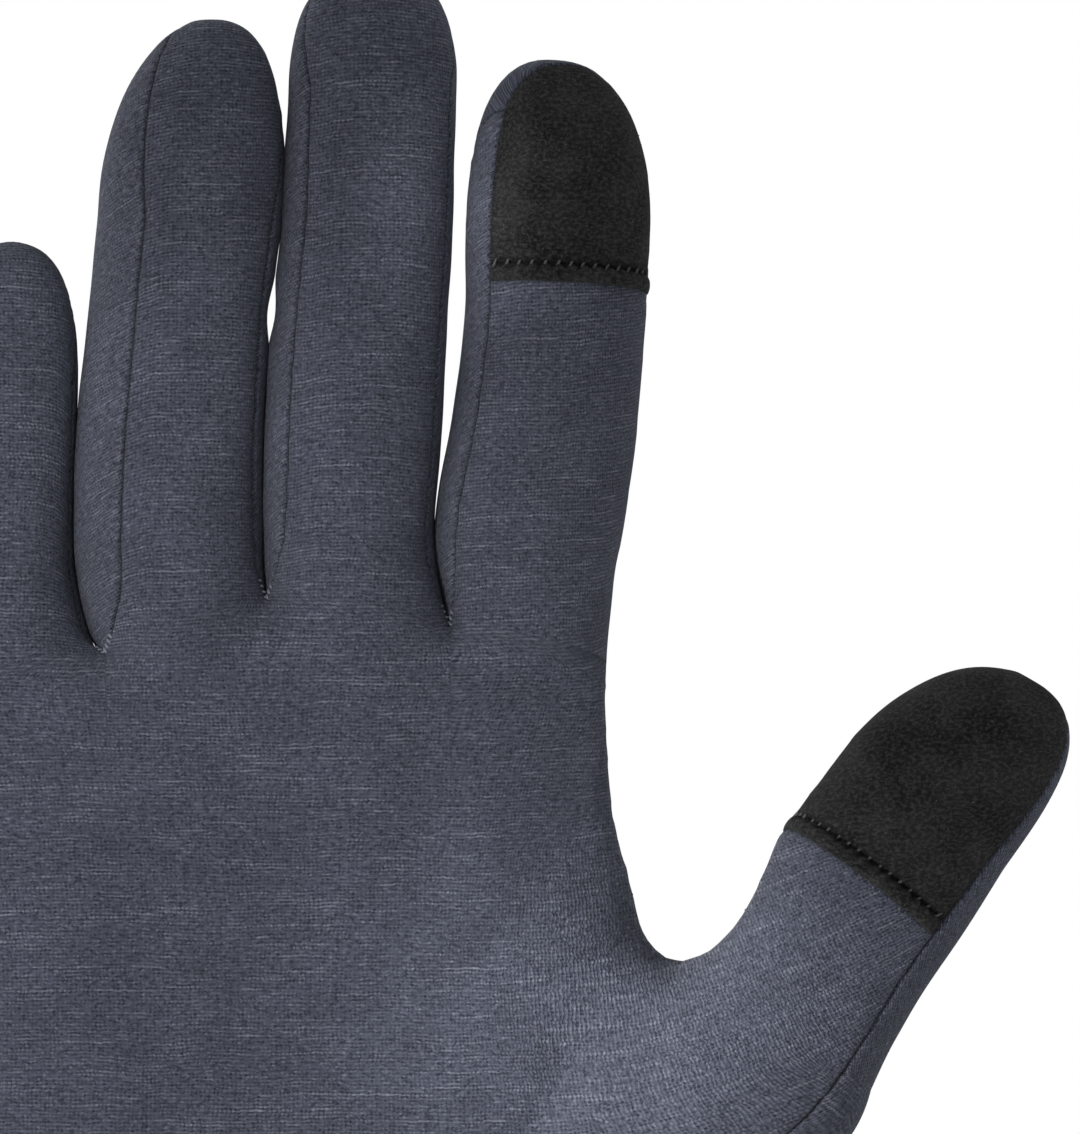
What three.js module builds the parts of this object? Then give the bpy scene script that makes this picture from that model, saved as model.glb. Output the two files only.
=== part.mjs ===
// A right-hand glove of wool jersey in the shape that it has when worn, cut and sewn from flat panels.
// Frame: millimetres, fingers up along +Z, palm towards -Y, thumb towards +X.
// The origin is the middle of the wrist opening, at the cuff's lower edge.
// A palm panel and a back panel are joined by three forked strips that line the sides of the fingers.
// The thumb and the index finger end in black touch-screen tips, and a folded band closes the wrist.
import * as THREE from "three";

// Cloth
const JERSEY = 1.4; // wall of one layer of jersey
const TIP_CLOTH = 1.5; // wall of the black tip cloth
const BAND_CLOTH = 2.6; // wall of the cuff band, which is folded double
const SEAM_GAP = 0.3; // clearance between two panels along their seam
const LONGEST_MITRE = 2.5; // how far a pointed panel end may draw back, in half gaps

// Mesh: steps across each finger's palm side or back, and across its side strips
const FACE_STEPS = 5;
const SIDE_STEPS = 3;
const FINGER_ROWS = 9;
const TIP_ROWS = 4;
const PALM_LEVELS = [0, 0.08, 0.22, 0.42, 0.62, 0.8, 0.93]; // shares of the way from the web to the fingers
const HEEL_LEVELS = [0, 0.13, 0.26, 0.39, 0.52, 0.65, 0.77, 0.87, 0.95]; // and from the wrist to the web
const WRIST_STEPS = 3;
const BAND_STEPS = 3;

// Levels up the hand
const BAND_TOP = 36;
const WRIST_TOP = 58;
const WEB_LEVEL = 117; // the bottom of the gap between thumb and index finger

const FINGER_POWER = 2.3; // of every finger's section and rounded end: 2 is an ellipse, more is squarer
const SADDLE_DROP = 0.8; // how far the cloth dips between the front and back of a fork

// Rolled lower edge of the black tips, flatter where it meets a seam
const ROLL_WIDTH = 2.6;
const ROLL_HEIGHT = 0.6;
const ROLL_END_HEIGHT = 0.15;

// Each finger stands on its own straight line: base is (x, z), tilt is degrees from +Z towards +X.
// In rows, along runs up that line, left and right are across it, and front and back are y.
// seam_left and seam_right are the palm seams, in degrees round the finger from the palm side's middle.
// left_fork and right_fork say where the finger starts on each side, back_drop how much lower it starts behind.
// Over the rounded end the palm meets the back in one seam: end gives how far it reaches to the left and
// to the right of the finger's own line, and how far behind that line it lies at either end, in degrees.
const FINGERS = {
  little: {
    base: [-37.7, 156.6], tilt: 2.6, dome: 36, length: 53.7, tip_across: 0.2, tip_depth: -5.5,
    left_fork: -4, right_fork: 1.2, back_drop: 3, back_left: 62, back_right: 52,
    end: { left: 50, right: 50, behind_left: 8, behind_right: 8 },
    rows: [
      { along: -4, left: -12.2, right: 14.2, front: -12.6, back: 10.6, seam_left: 80, seam_right: 72 },
      { along: 5, left: -10.9, right: 11.3, front: -11.8, back: 9.2, seam_left: 80, seam_right: 74 },
      { along: 13, left: -10.0, right: 9.4, front: -11.4, back: 7.6, seam_left: 80, seam_right: 76 },
      { along: 24, left: -9.4, right: 9.1, front: -11.6, back: 5.4, seam_left: 80, seam_right: 76 },
      { along: 36, left: -9.1, right: 9.1, front: -12.2, back: 3.4, seam_left: 80, seam_right: 74 },
    ],
  },
  ring: {
    base: [-13.9, 158.6], tilt: 3.2, dome: 54.5, length: 80.5, tip_across: 0.6, tip_depth: -7,
    left_fork: -1.9, right_fork: 7.2, back_drop: 3, back_left: 54, back_right: 52,
    end: { left: 18, right: 50, behind_left: 6, behind_right: 8 },
    rows: [
      { along: -2, left: -9.8, right: 11.3, front: -14.0, back: 12.4, seam_left: 58, seam_right: 70 },
      { along: 5, left: -12.3, right: 10.9, front: -13.4, back: 11.0, seam_left: 38, seam_right: 70 },
      { along: 13, left: -13.9, right: 9.9, front: -13.2, back: 9.4, seam_left: 29, seam_right: 68 },
      { along: 26, left: -14.3, right: 9.3, front: -13.4, back: 7.0, seam_left: 27, seam_right: 66 },
      { along: 40, left: -13.9, right: 9.3, front: -14.0, back: 5.0, seam_left: 26, seam_right: 66 },
      { along: 54.5, left: -13.4, right: 10.2, front: -14.4, back: 3.4, seam_left: 26, seam_right: 66 },
    ],
  },
  middle: {
    base: [9.4, 161.2], tilt: 1.3, dome: 69, length: 85.2, tip_across: 0.5, tip_depth: -7.5,
    left_fork: 3.9, right_fork: 0.8, back_drop: 3, back_left: 52, back_right: 52,
    end: { left: 34, right: 50, behind_left: 4, behind_right: 8 },
    rows: [
      { along: 0, left: -11.7, right: 11.8, front: -14.6, back: 13.2, seam_left: 66, seam_right: 70 },
      { along: 11, left: -11.8, right: 9.4, front: -13.8, back: 10.8, seam_left: 50, seam_right: 66 },
      { along: 24, left: -12.2, right: 10.3, front: -13.6, back: 8.4, seam_left: 46, seam_right: 64 },
      { along: 40, left: -11.5, right: 10.9, front: -14.0, back: 6.2, seam_left: 46, seam_right: 64 },
      { along: 54, left: -10.4, right: 11.3, front: -14.4, back: 4.6, seam_left: 46, seam_right: 66 },
      { along: 69, left: -10.3, right: 11.4, front: -14.6, back: 3.2, seam_left: 46, seam_right: 66 },
    ],
  },
  index: {
    base: [31.6, 158.6], tilt: 3.2, dome: 53.5, length: 75.3, tip_across: -0.6, tip_depth: -6,
    left_fork: 2.5, right_fork: -1, back_drop: 3, back_left: 52, back_right: 62, roll_at: 46.2,
    end: { left: 40, right: 50, behind_left: -14, behind_right: 14 },
    rows: [
      { along: -1, left: -10.2, right: 10.4, front: -14.2, back: 12.8, seam_left: 60, seam_right: 100 },
      { along: 8, left: -11.8, right: 10.7, front: -13.4, back: 11.2, seam_left: 54, seam_right: 102 },
      { along: 15, left: -12.6, right: 11.6, front: -13.0, back: 9.8, seam_left: 50, seam_right: 102 },
      { along: 30, left: -11.2, right: 12.6, front: -12.6, back: 7.6, seam_left: 46, seam_right: 102 },
      { along: 42, left: -10.6, right: 12.9, front: -12.8, back: 6.0, seam_left: 45, seam_right: 102 },
      { along: 53.5, left: -11.1, right: 12.9, front: -13.0, back: 5.0, seam_left: 45, seam_right: 100 },
    ],
  },
  thumb: {
    base: [64.2, 108.7], tilt: 34.8, dome: 33, length: 55.4, tip_across: 2.0, tip_depth: -13.5,
    left_fork: 0, right_fork: 0, back_drop: 0, back_left: 60, back_right: 56, roll_at: 21.3,
    end: { left: 50, right: 18, behind_left: 12, behind_right: 2 },
    rows: [
      { along: 0, left: -14.2, right: 14.4, front: -21.0, back: 5.0, seam_left: 88, seam_right: 40 },
      { along: 7, left: -12.2, right: 13.1, front: -21.0, back: 3.4, seam_left: 94, seam_right: 43 },
      { along: 14, left: -13.1, right: 12.6, front: -21.0, back: 1.6, seam_left: 98, seam_right: 44 },
      { along: 21, left: -14.2, right: 12.5, front: -21.4, back: 0.0, seam_left: 100, seam_right: 46 },
      { along: 33, left: -13.9, right: 11.9, front: -21.8, back: -3.0, seam_left: 100, seam_right: 52 },
    ],
  },
};

// The hand above the thumb, and the wrist with the cuff band: outline and power at each level.
// sides gives where the outer runs start and end, as shares of the half depth, minus towards the palm.
const PALM = {
  sides: { left: { front: -0.3, back: 0.55 }, right: { front: 0.05, back: 0.6 } },
  rows: [
    { z: 117, left: -50.0, right: 51.6, front: -15.0, back: 14.0, power: 2.6 },
    { z: 121, left: -50.0, right: 48.0, front: -14.8, back: 14.2, power: 2.6 },
    { z: 127, left: -50.0, right: 45.2, front: -14.6, back: 14.4, power: 2.6 },
    { z: 138, left: -50.1, right: 42.4, front: -14.4, back: 14.4, power: 2.6 },
    { z: 150, left: -50.1, right: 41.8, front: -14.2, back: 13.8, power: 2.6 },
    { z: 160, left: -49.8, right: 42.4, front: -14.0, back: 13.2, power: 2.6 },
  ],
};
const WRIST = {
  sides: { left: { front: -0.35, back: 0.45 }, right: { front: -0.3, back: 0.45 } },
  rows: [
    { z: 0, left: -34.0, right: 34.0, front: -22.0, back: 22.0, power: 2.2 },
    { z: 18, left: -32.8, right: 32.8, front: -21.0, back: 21.0, power: 2.2 },
    { z: 36, left: -32.2, right: 32.2, front: -20.4, back: 20.4, power: 2.2 },
    { z: 58, left: -33.6, right: 33.8, front: -20.6, back: 19.8, power: 2.2 },
  ],
};

// Swellings and hollows of the palm and the back: middle, reach across and up, and height, minus being a hollow
const RELIEF = {
  front: [
    { x: 48, z: 92, reach_x: 22, reach_z: 30, height: 4.5 }, // ball of the thumb
    { x: -33, z: 90, reach_x: 16, reach_z: 34, height: 3.0 }, // heel of the hand
    { x: 0, z: 118, reach_x: 22, reach_z: 26, height: -3.2 }, // hollow of the palm
    { x: -4, z: 151, reach_x: 44, reach_z: 9, height: 1.2 }, // pads below the fingers
  ],
  back: [
    { x: 30, z: 146, reach_x: 9, reach_z: 12, height: 1.6 }, // knuckles, from index to little finger
    { x: 9, z: 149, reach_x: 9, reach_z: 12, height: 2.0 },
    { x: -14, z: 147, reach_x: 9, reach_z: 12, height: 1.6 },
    { x: -36, z: 141, reach_x: 9, reach_z: 12, height: 1.2 },
  ],
};
const RIDGE_FADE = 5; // how soon the ridges of the fingers fade out below them
const WEB_FADE = 3.5; // how soon the dip of the web fades out below it
const WEB_REACH = 3; // steps to each side of the web over which the cloth is pulled taut

// How far the columns of the mesh lean towards the thumb below it: on its face, and at its outer edge
const THUMB_LEAN = { face: 34, edge: 14, starts: 0.6 };

const COLOURS = { jersey: 0x454a57, side: 0x4a4e5b, black: 0x151516, band: 0x434855 };

const radians = THREE.MathUtils.degToRad;
const mix = THREE.MathUtils.lerp;
const ease = (t) => THREE.MathUtils.smoothstep(t, 0, 1);
const middle = (a, b) => (a + b) / 2;

// Smooth value of every column of a table between its rows, flat where a column turns.
function read(rows, key, at) {
  const last = rows.length - 1;
  const place = THREE.MathUtils.clamp(at, rows[0][key], rows[last][key]);
  let i = 0;
  while (i < last - 1 && place > rows[i + 1][key]) i += 1;
  const span = rows[i + 1][key] - rows[i][key];
  const t = (place - rows[i][key]) / span;
  const slope = (name, n) => (rows[n + 1][name] - rows[n][name]) / (rows[n + 1][key] - rows[n][key]);
  const bend = (name, n) => {
    if (n === 0) return slope(name, 0);
    if (n === last) return slope(name, last - 1);
    const [before, after] = [slope(name, n - 1), slope(name, n)];
    return before * after > 0 ? (2 * before * after) / (before + after) : 0;
  };
  const found = {};
  for (const name of Object.keys(rows[0])) {
    const [a, b] = [rows[i][name], rows[i + 1][name]];
    const [from, to] = [bend(name, i) * span, bend(name, i + 1) * span];
    found[name] = a + t * from + t * t * (3 * (b - a) - 2 * from - to) + t * t * t * (2 * (a - b) + from + to);
  }
  return found;
}

// A point of a finger: along is the way up it, and heading the direction from its middle line,
// which is (across, y, along) and leans towards the finger's own line only in the rounded end.
function onFinger(finger, along, heading) {
  const row = read(finger.rows, "along", Math.min(along, finger.dome));
  const sum = [heading.x, heading.y, heading.z].reduce((s, v) => s + Math.abs(v) ** FINGER_POWER, 0);
  const reach = sum ** (-1 / FINGER_POWER);
  const lift = heading.z * reach;
  const across = mix(middle(row.left, row.right), finger.tip_across, lift ** 1.6)
    + ((row.right - row.left) / 2) * heading.x * reach;
  const depth = mix(middle(row.front, row.back), finger.tip_depth, lift ** 1.6)
    + ((row.back - row.front) / 2) * heading.y * reach;
  const up = Math.min(along, finger.dome) + (finger.length - finger.dome) * lift;
  const tilt = radians(finger.tilt);
  const [x, z] = finger.base;
  return new THREE.Vector3(
    x + up * Math.sin(tilt) + across * Math.cos(tilt),
    depth,
    z + up * Math.cos(tilt) - across * Math.sin(tilt),
  );
}

// One turn round a tube of cloth: four runs of points from seam to seam, each ending where the next begins.
function closeTurn(runs) {
  runs.right[0] = runs.front.at(-1);
  runs.back[0] = runs.right.at(-1);
  runs.left[0] = runs.back.at(-1);
  runs.left[runs.left.length - 1] = runs.front[0];
  return runs;
}

const isFace = (run) => run === "front" || run === "back";

// The angles round a finger at which its runs start, in degrees from the palm side's middle.
function seamAngles(finger, along) {
  const row = read(finger.rows, "along", Math.min(along, finger.dome));
  return [-row.seam_left, row.seam_right, 180 - finger.back_right, 180 + finger.back_left, 360 - row.seam_left];
}

// Points of one turn, from a function of the angle, the run's name and the share of the run.
function turnOf(angles, pointAt) {
  const runs = {};
  ["front", "right", "back", "left"].forEach((name, n) => {
    const steps = isFace(name) ? FACE_STEPS : SIDE_STEPS;
    runs[name] = Array.from({ length: steps + 1 }, (_, i) =>
      pointAt(mix(angles[n], angles[n + 1], i / steps), name, i / steps));
  });
  return closeTurn(runs);
}

const sideways = (angle) => new THREE.Vector3(Math.sin(radians(angle)), -Math.cos(radians(angle)), 0);

// Where each row of a finger starts, as shares of its tube, with two close rows for a rolled edge.
function rowShares(finger) {
  const even = (from, to, count) => Array.from({ length: count }, (_, i) => mix(from, to, i / count));
  if (!finger.roll_at) return [...even(0, 1, FINGER_ROWS), 1];
  const roll = finger.roll_at / finger.dome;
  const rolled = (finger.roll_at + ROLL_WIDTH) / finger.dome;
  const below = Math.round(FINGER_ROWS * roll);
  return [...even(0, roll, below), ...even(roll, rolled, 2), ...even(rolled, 1, 1), 1];
}

// The seam over a finger's end, from its left end at 0 to its right end at 1, as a heading.
function endHeading(end, share) {
  const angle = radians(mix(-end.left, end.right, share));
  const behind = radians(mix(end.behind_left, end.behind_right, share));
  const flat = Math.cos(behind);
  return new THREE.Vector3(Math.sin(angle) * flat, Math.sin(behind), Math.cos(angle) * flat);
}

// Every row of a finger, from its forks to the seam over its end.
function fingerRows(finger) {
  const tube = rowShares(finger).map((share) => {
    const middleAlong = mix(middle(finger.left_fork, finger.right_fork), finger.dome, share);
    return turnOf(seamAngles(finger, middleAlong), (angle) => {
      const heading = sideways(angle);
      const fork = mix(finger.left_fork, finger.right_fork, (1 + heading.x) / 2);
      const behind = finger.back_drop * ((1 + heading.y) / 2);
      return onFinger(finger, mix(fork - behind, finger.dome, share), heading);
    });
  });
  const seamShare = { front: (t) => t, right: () => 1, back: (t) => 1 - t, left: () => 0 };
  const end = Array.from({ length: TIP_ROWS }, (_, i) =>
    turnOf(seamAngles(finger, finger.dome), (angle, name, share) => {
      const from = sideways(angle);
      const turn = new THREE.Quaternion().setFromUnitVectors(from, endHeading(finger.end, seamShare[name](share)));
      const part = new THREE.Quaternion().slerp(turn, (i + 1) / TIP_ROWS);
      return onFinger(finger, finger.dome, from.clone().applyQuaternion(part));
    }));
  return [...tube, ...end];
}

// Joins two tubes side by side at a fork: their facing runs become one saddle of cloth.
function fork(left, right) {
  left.right.forEach((point, i) => {
    const partner = right.left[right.left.length - 1 - i];
    point.add(partner).multiplyScalar(0.5);
    point.z -= SADDLE_DROP * Math.sin((Math.PI * i) / SIDE_STEPS);
    partner.copy(point);
  });
  return {
    front: [...left.front, ...right.front.slice(1)],
    right: right.right,
    back: [...right.back, ...left.back.slice(1)],
    left: left.left,
  };
}

// A point of an outline at a level, on one of its runs: part goes from 0 at the run's start to 1 at its end.
function onOutline({ rows, sides }, z, run, part) {
  const row = read(rows, "z", z);
  const other = (share) => Math.max(0, 1 - Math.abs(share) ** row.power) ** (1 / row.power);
  const place = {
    front: () => mix(-other(sides.left.front), other(sides.right.front), part),
    right: () => mix(sides.right.front, sides.right.back, part),
    back: () => mix(other(sides.right.back), -other(sides.left.back), part),
    left: () => mix(sides.left.back, sides.left.front, part),
  }[run]();
  const across = isFace(run) ? place : other(place) * (run === "left" ? -1 : 1);
  const deep = isFace(run) ? other(place) * (run === "front" ? -1 : 1) : place;
  return new THREE.Vector3(
    middle(row.left, row.right) + ((row.right - row.left) / 2) * across,
    middle(row.front, row.back) + ((row.back - row.front) / 2) * deep,
    z,
  );
}

// How far along its run each point of a turn lies: by its x on the front and the back, evenly at the sides.
function partsOf(turn) {
  return Object.fromEntries(Object.entries(turn).map(([name, run]) => [name, run.map((point, i) =>
    (isFace(name) ? (point.x - run[0].x) / (run.at(-1).x - run[0].x) : i / (run.length - 1)))]));
}

// A new turn with a function of the run's name and the point's number applied to every point.
function mapTurn(turn, pointAt) {
  return closeTurn(Object.fromEntries(Object.entries(turn).map(([name, run]) =>
    [name, run.map((point, i) => pointAt(point, name, i))])));
}

// How far the swellings push a point of the palm or of the back along y.
function swell(run, point) {
  if (!isFace(run)) return 0;
  const height = RELIEF[run].reduce((sum, b) => {
    const far = ((point.x - b.x) / b.reach_x) ** 2 + ((point.z - b.z) / b.reach_z) ** 2;
    return sum + b.height * Math.exp(-far);
  }, 0);
  return run === "front" ? -height : height;
}

// The palm between the web of the thumb and the fingers: an outline that takes on the fingers' ridges.
function palmRows(top) {
  const parts = partsOf(top);
  return PALM_LEVELS.map((level) => mapTurn(top, (point, run, i) => {
    const part = parts[run][i];
    const plain = onOutline(PALM, mix(WEB_LEVEL, point.z, level), run, part);
    const ridge = Math.exp((plain.z - point.z) / RIDGE_FADE);
    const offset = point.clone().sub(onOutline(PALM, point.z, run, part));
    plain.y += swell(run, plain) * (1 - ridge);
    return plain.addScaledVector(offset, ridge);
  }));
}

// The depth of a run's points if its cloth were pulled straight over the dip at one of them.
function tautDepths(run, dip) {
  const [from, to] = [run[dip - WEB_REACH], run[dip + WEB_REACH]];
  return run.map((point, i) => (Math.abs(i - dip) < WEB_REACH
    ? mix(from.y, to.y, (point.x - from.x) / (to.x - from.x))
    : point.y));
}

// The way up of the columns that end at a point of the web's turn.
function columnLean(run, part) {
  const share = { front: part, back: 1 - part, right: 1, left: 0 }[run];
  const face = THUMB_LEAN.face * ease((share - THUMB_LEAN.starts) / (1 - THUMB_LEAN.starts));
  const lean = radians(run === "right" ? mix(face, THUMB_LEAN.edge, Math.sin(Math.PI * part)) : face);
  return new THREE.Vector3(Math.sin(lean), 0, Math.cos(lean));
}

// The heel of the hand, from the wrist to the turn where the thumb branches off.
function heelRows(top, frontDip, backDip) {
  const parts = partsOf(top);
  const taut = { front: tautDepths(top.front, frontDip), back: tautDepths(top.back, backDip) };
  return HEEL_LEVELS.map((t) => mapTurn(top, (point, run, i) => {
    const start = onOutline(WRIST, WRIST_TOP, run, parts[run][i]);
    const length = start.distanceTo(point);
    const end = point.clone();
    if (isFace(run)) end.y = mix(taut[run][i], point.y, Math.exp((-length * (1 - t)) / WEB_FADE));
    const path = start.lerp(end, ease(t))
      .addScaledVector(new THREE.Vector3(0, 0, 1), length * t * (1 - t) ** 2)
      .addScaledVector(columnLean(run, parts[run][i]), -length * t * t * (1 - t));
    path.y += swell(run, path) * Math.sin((Math.PI / 2) * t) ** 2 - swell(run, point) * ease(t);
    return path;
  }));
}

// Turns of the wrist's outline at given levels, whose points stand below those of another turn.
function wristTurns(above, levels) {
  const parts = partsOf(above);
  return levels.map((z) => mapTurn(above, (_, run, i) => onOutline(WRIST, z, run, parts[run][i])));
}

// The cloth: shared points, and four-sided patches that each belong to one panel.
const points = [];
const patches = [];
const known = new Map();

function pointNumber(point) {
  const key = [point.x, point.y, point.z].map((v) => Math.round(v * 1e4)).join(" ");
  if (!known.has(key)) known.set(key, points.push(point.clone()) - 1);
  return known.get(key);
}

// Lays patches between two turns, with the panel that each run belongs to.
function lay(lower, upper, panels) {
  for (const [name, panel] of Object.entries(panels)) {
    for (let i = 0; i < lower[name].length - 1; i += 1) {
      const corners = [lower[name][i], lower[name][i + 1], upper[name][i + 1], upper[name][i]].map(pointNumber);
      const distinct = corners.filter((c, n) => c !== corners[(n + 1) % 4]);
      if (distinct.length > 2) patches.push({ panel, corners: distinct });
    }
  }
}

function trianglesOf(corners) {
  const fan = [];
  for (let i = 1; i < corners.length - 1; i += 1) fan.push([corners[0], corners[i], corners[i + 1]]);
  return fan;
}

// The direction out of the cloth at every point, from all the patches round it.
function outward() {
  const sums = points.map(() => new THREE.Vector3());
  for (const { corners } of patches) {
    for (const [a, b, c] of trianglesOf(corners)) {
      const face = points[b].clone().sub(points[a]).cross(points[c].clone().sub(points[a]));
      for (const corner of [a, b, c]) sums[corner].add(face);
    }
  }
  return sums.map((sum) => sum.normalize());
}

// A closed solid from one panel's patches: its outer face, its inner face a wall below, and its cut edges.
function panelGeometry(panel, wall, directions, lift = () => 0) {
  const own = patches.filter((p) => p.panel === panel).map((p) => p.corners);
  const edges = new Map();
  for (const corners of own) {
    corners.forEach((from, i) => {
      const to = corners[(i + 1) % corners.length];
      if (!edges.delete(`${to} ${from}`)) edges.set(`${from} ${to}`, [from, to]);
    });
  }
  const drawn = new Map();
  for (const [from, to] of edges.values()) {
    const along = points[to].clone().sub(points[from]).normalize();
    for (const end of [from, to]) {
      const inwards = directions[end].clone().cross(along).normalize();
      drawn.set(end, [...(drawn.get(end) ?? []), inwards]);
    }
  }
  const numbers = [...new Set(own.flat())];
  const place = new Map(numbers.map((n, i) => [n, i]));
  const positions = [];
  for (const depth of [0, wall]) {
    for (const n of numbers) {
      const point = points[n].clone().addScaledVector(directions[n], lift(n) - depth);
      const pulls = drawn.get(n) ?? [];
      if (pulls.length) {
        const pull = pulls.reduce((sum, v) => sum.add(v), new THREE.Vector3()).divideScalar(pulls.length);
        const mitre = Math.min(LONGEST_MITRE, 1 / Math.max(pull.length(), 0.01));
        point.addScaledVector(pull.normalize(), (SEAM_GAP / 2) * mitre);
      }
      positions.push(point.x, point.y, point.z);
    }
  }
  const inner = numbers.length;
  const faces = [];
  for (const corners of own) {
    for (const [a, b, c] of trianglesOf(corners)) {
      faces.push(place.get(a), place.get(b), place.get(c));
      faces.push(place.get(a) + inner, place.get(c) + inner, place.get(b) + inner);
    }
  }
  // Both panels of a seam split its twisted edge walls along the same diagonal, so that they stay apart
  for (const [from, to] of edges.values()) {
    const [a, b] = [place.get(from), place.get(to)];
    if (from < to) faces.push(b, a, a + inner, b, a + inner, b + inner);
    else faces.push(b, a, b + inner, a, a + inner, b + inner);
  }
  const geometry = new THREE.BufferGeometry();
  geometry.setAttribute("position", new THREE.Float32BufferAttribute(positions, 3));
  geometry.setIndex(faces);
  geometry.computeVertexNormals();
  return geometry;
}

// The fingers, joined into the hand, the hand and the thumb joined into the heel, and the heel into the wrist
const rows = Object.fromEntries(Object.entries(FINGERS).map(([name, finger]) => [name, fingerRows(finger)]));
const knuckleTurn = ["little", "ring", "middle", "index"].map((name) => rows[name][0]).reduce(fork);
const palm = palmRows(knuckleTurn);
const webTurn = fork(palm[0], rows.thumb[0]);
const heel = heelRows(webTurn, palm[0].front.length - 1, FACE_STEPS);
const levelsBetween = (from, to, steps) => Array.from({ length: steps + 1 }, (_, i) => mix(from, to, i / steps));
const wrist = wristTurns(webTurn, levelsBetween(BAND_TOP, WRIST_TOP, WRIST_STEPS).slice(0, -1));
const band = wristTurns(webTurn, levelsBetween(0, BAND_TOP, BAND_STEPS));

// Patches, panel by panel. The back panel also wraps the outer sides of the hand.
const HAND_PANELS = { front: "palm_panel", right: "back_panel", back: "back_panel", left: "back_panel" };
const body = [...wrist, ...heel, webTurn];
body.slice(1).forEach((turn, i) => lay(body[i], turn, HAND_PANELS));
const hand = [...palm, knuckleTurn];
hand.slice(1).forEach((turn, i) => lay(hand[i], turn, HAND_PANELS));

const BETWEEN = {
  little: { left: "back_panel", right: "side_strip_little_ring" },
  ring: { left: "side_strip_little_ring", right: "side_strip_ring_middle" },
  middle: { left: "side_strip_ring_middle", right: "side_strip_middle_index" },
  index: { left: "side_strip_middle_index", right: "back_panel" },
  thumb: { left: "back_panel", right: "back_panel" },
};
const rolled = new Map();
for (const [name, finger] of Object.entries(FINGERS)) {
  const firstTipRow = finger.roll_at ? rowShares(finger).findIndex((s) => s >= finger.roll_at / finger.dome) : Infinity;
  rows[name].slice(1).forEach((turn, i) => {
    const front = i < firstTipRow ? "palm_panel" : `${name}_touch_tip`;
    lay(rows[name][i], turn, { ...BETWEEN[name], front, back: "back_panel" });
  });
  if (finger.roll_at) {
    for (const { front } of rows[name].slice(firstTipRow, firstTipRow + 2)) {
      front.forEach((point, i) => {
        const atSeam = i === 0 || i === front.length - 1;
        rolled.set(pointNumber(point), atSeam ? ROLL_END_HEIGHT : ROLL_HEIGHT);
      });
    }
  }
}
band.slice(1).forEach((turn, i) => lay(band[i], turn, {
  front: "cuff_band", right: "cuff_band", back: "cuff_band", left: "cuff_band",
}));

const directions = outward();
const rollLift = (n) => rolled.get(n) ?? 0;

function clothMaterial(color, roughness) {
  return new THREE.MeshStandardMaterial({ color, roughness, metalness: 0 });
}

// A named mesh whose geometry is measured from its own anchor point.
function addPanel(group, name, wall, material, anchor = [0, 0, 0], lift = undefined) {
  const geometry = panelGeometry(name, wall, directions, lift);
  geometry.translate(-anchor[0], -anchor[1], -anchor[2]);
  const mesh = new THREE.Mesh(geometry, material);
  mesh.name = name;
  mesh.position.set(...anchor);
  group.add(mesh);
}

const glove = new THREE.Group();
const jersey = clothMaterial(COLOURS.jersey, 0.95);
const sideJersey = clothMaterial(COLOURS.side, 0.95);
const black = clothMaterial(COLOURS.black, 0.9);

const shell = new THREE.Group();
addPanel(shell, "palm_panel", JERSEY, jersey);
addPanel(shell, "back_panel", JERSEY, jersey);
const strips = { side_strip_little_ring: "ring", side_strip_ring_middle: "middle", side_strip_middle_index: "index" };
for (const [name, finger] of Object.entries(strips)) {
  const [x, z] = FINGERS[finger].base;
  addPanel(shell, name, JERSEY, sideJersey, [x, 0, z]);
}
glove.add(shell);

const touchTips = new THREE.Group();
for (const finger of ["index", "thumb"]) {
  const [x, z] = FINGERS[finger].base;
  addPanel(touchTips, `${finger}_touch_tip`, TIP_CLOTH, black, [x, 0, z], rollLift);
}
glove.add(touchTips);

addPanel(glove, "cuff_band", BAND_CLOTH, clothMaterial(COLOURS.band, 0.95));

export default glove;
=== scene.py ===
"""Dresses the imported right-hand glove of wool jersey with finely knitted, sewn panels, in its own frame."""
import logging
import math
from dataclasses import dataclass, field
from enum import Enum

import bpy
import numpy as np
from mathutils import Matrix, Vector


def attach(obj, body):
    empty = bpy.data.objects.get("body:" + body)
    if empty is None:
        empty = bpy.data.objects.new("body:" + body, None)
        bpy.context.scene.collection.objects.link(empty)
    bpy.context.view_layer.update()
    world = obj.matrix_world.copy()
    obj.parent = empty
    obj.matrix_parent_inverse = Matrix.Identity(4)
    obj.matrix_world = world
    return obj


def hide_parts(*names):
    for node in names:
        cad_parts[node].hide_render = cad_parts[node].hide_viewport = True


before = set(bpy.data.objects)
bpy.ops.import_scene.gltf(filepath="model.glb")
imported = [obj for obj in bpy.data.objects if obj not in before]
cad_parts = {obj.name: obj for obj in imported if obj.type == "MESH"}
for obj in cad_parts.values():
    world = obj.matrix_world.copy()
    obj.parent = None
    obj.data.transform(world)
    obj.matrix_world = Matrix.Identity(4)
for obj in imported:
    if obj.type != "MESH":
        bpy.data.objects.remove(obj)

log = logging.getLogger("glove")
MILLIMETRE = 0.001
TINY = 1e-12
Array = np.ndarray
Colour = tuple[float, float, float, float]
EDGE_PLACES = np.linspace(0, 1, 41)
NO_SEAM = 40.0


class Run(Enum):
    """The four runs of cloth round a tube, in the order in which they follow one another."""

    FRONT = "front"
    RIGHT = "right"
    BACK = "back"
    LEFT = "left"

    @property
    def facing(self) -> int:
        """1 for the palm side, whose flat pattern is seen from the front, and -1 for the other runs."""
        return 1 if self is Run.FRONT else -1


class Slot(Enum):
    """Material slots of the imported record."""

    JERSEY = "jersey"
    SIDE = "side_jersey"
    TIP = "touch_tip"
    BAND = "cuff_band"


def mix(a: Array | float, b: Array | float, t: Array | float) -> Array:
    """Value between a and b at share t."""
    return a + (np.asarray(b) - a) * t


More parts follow.
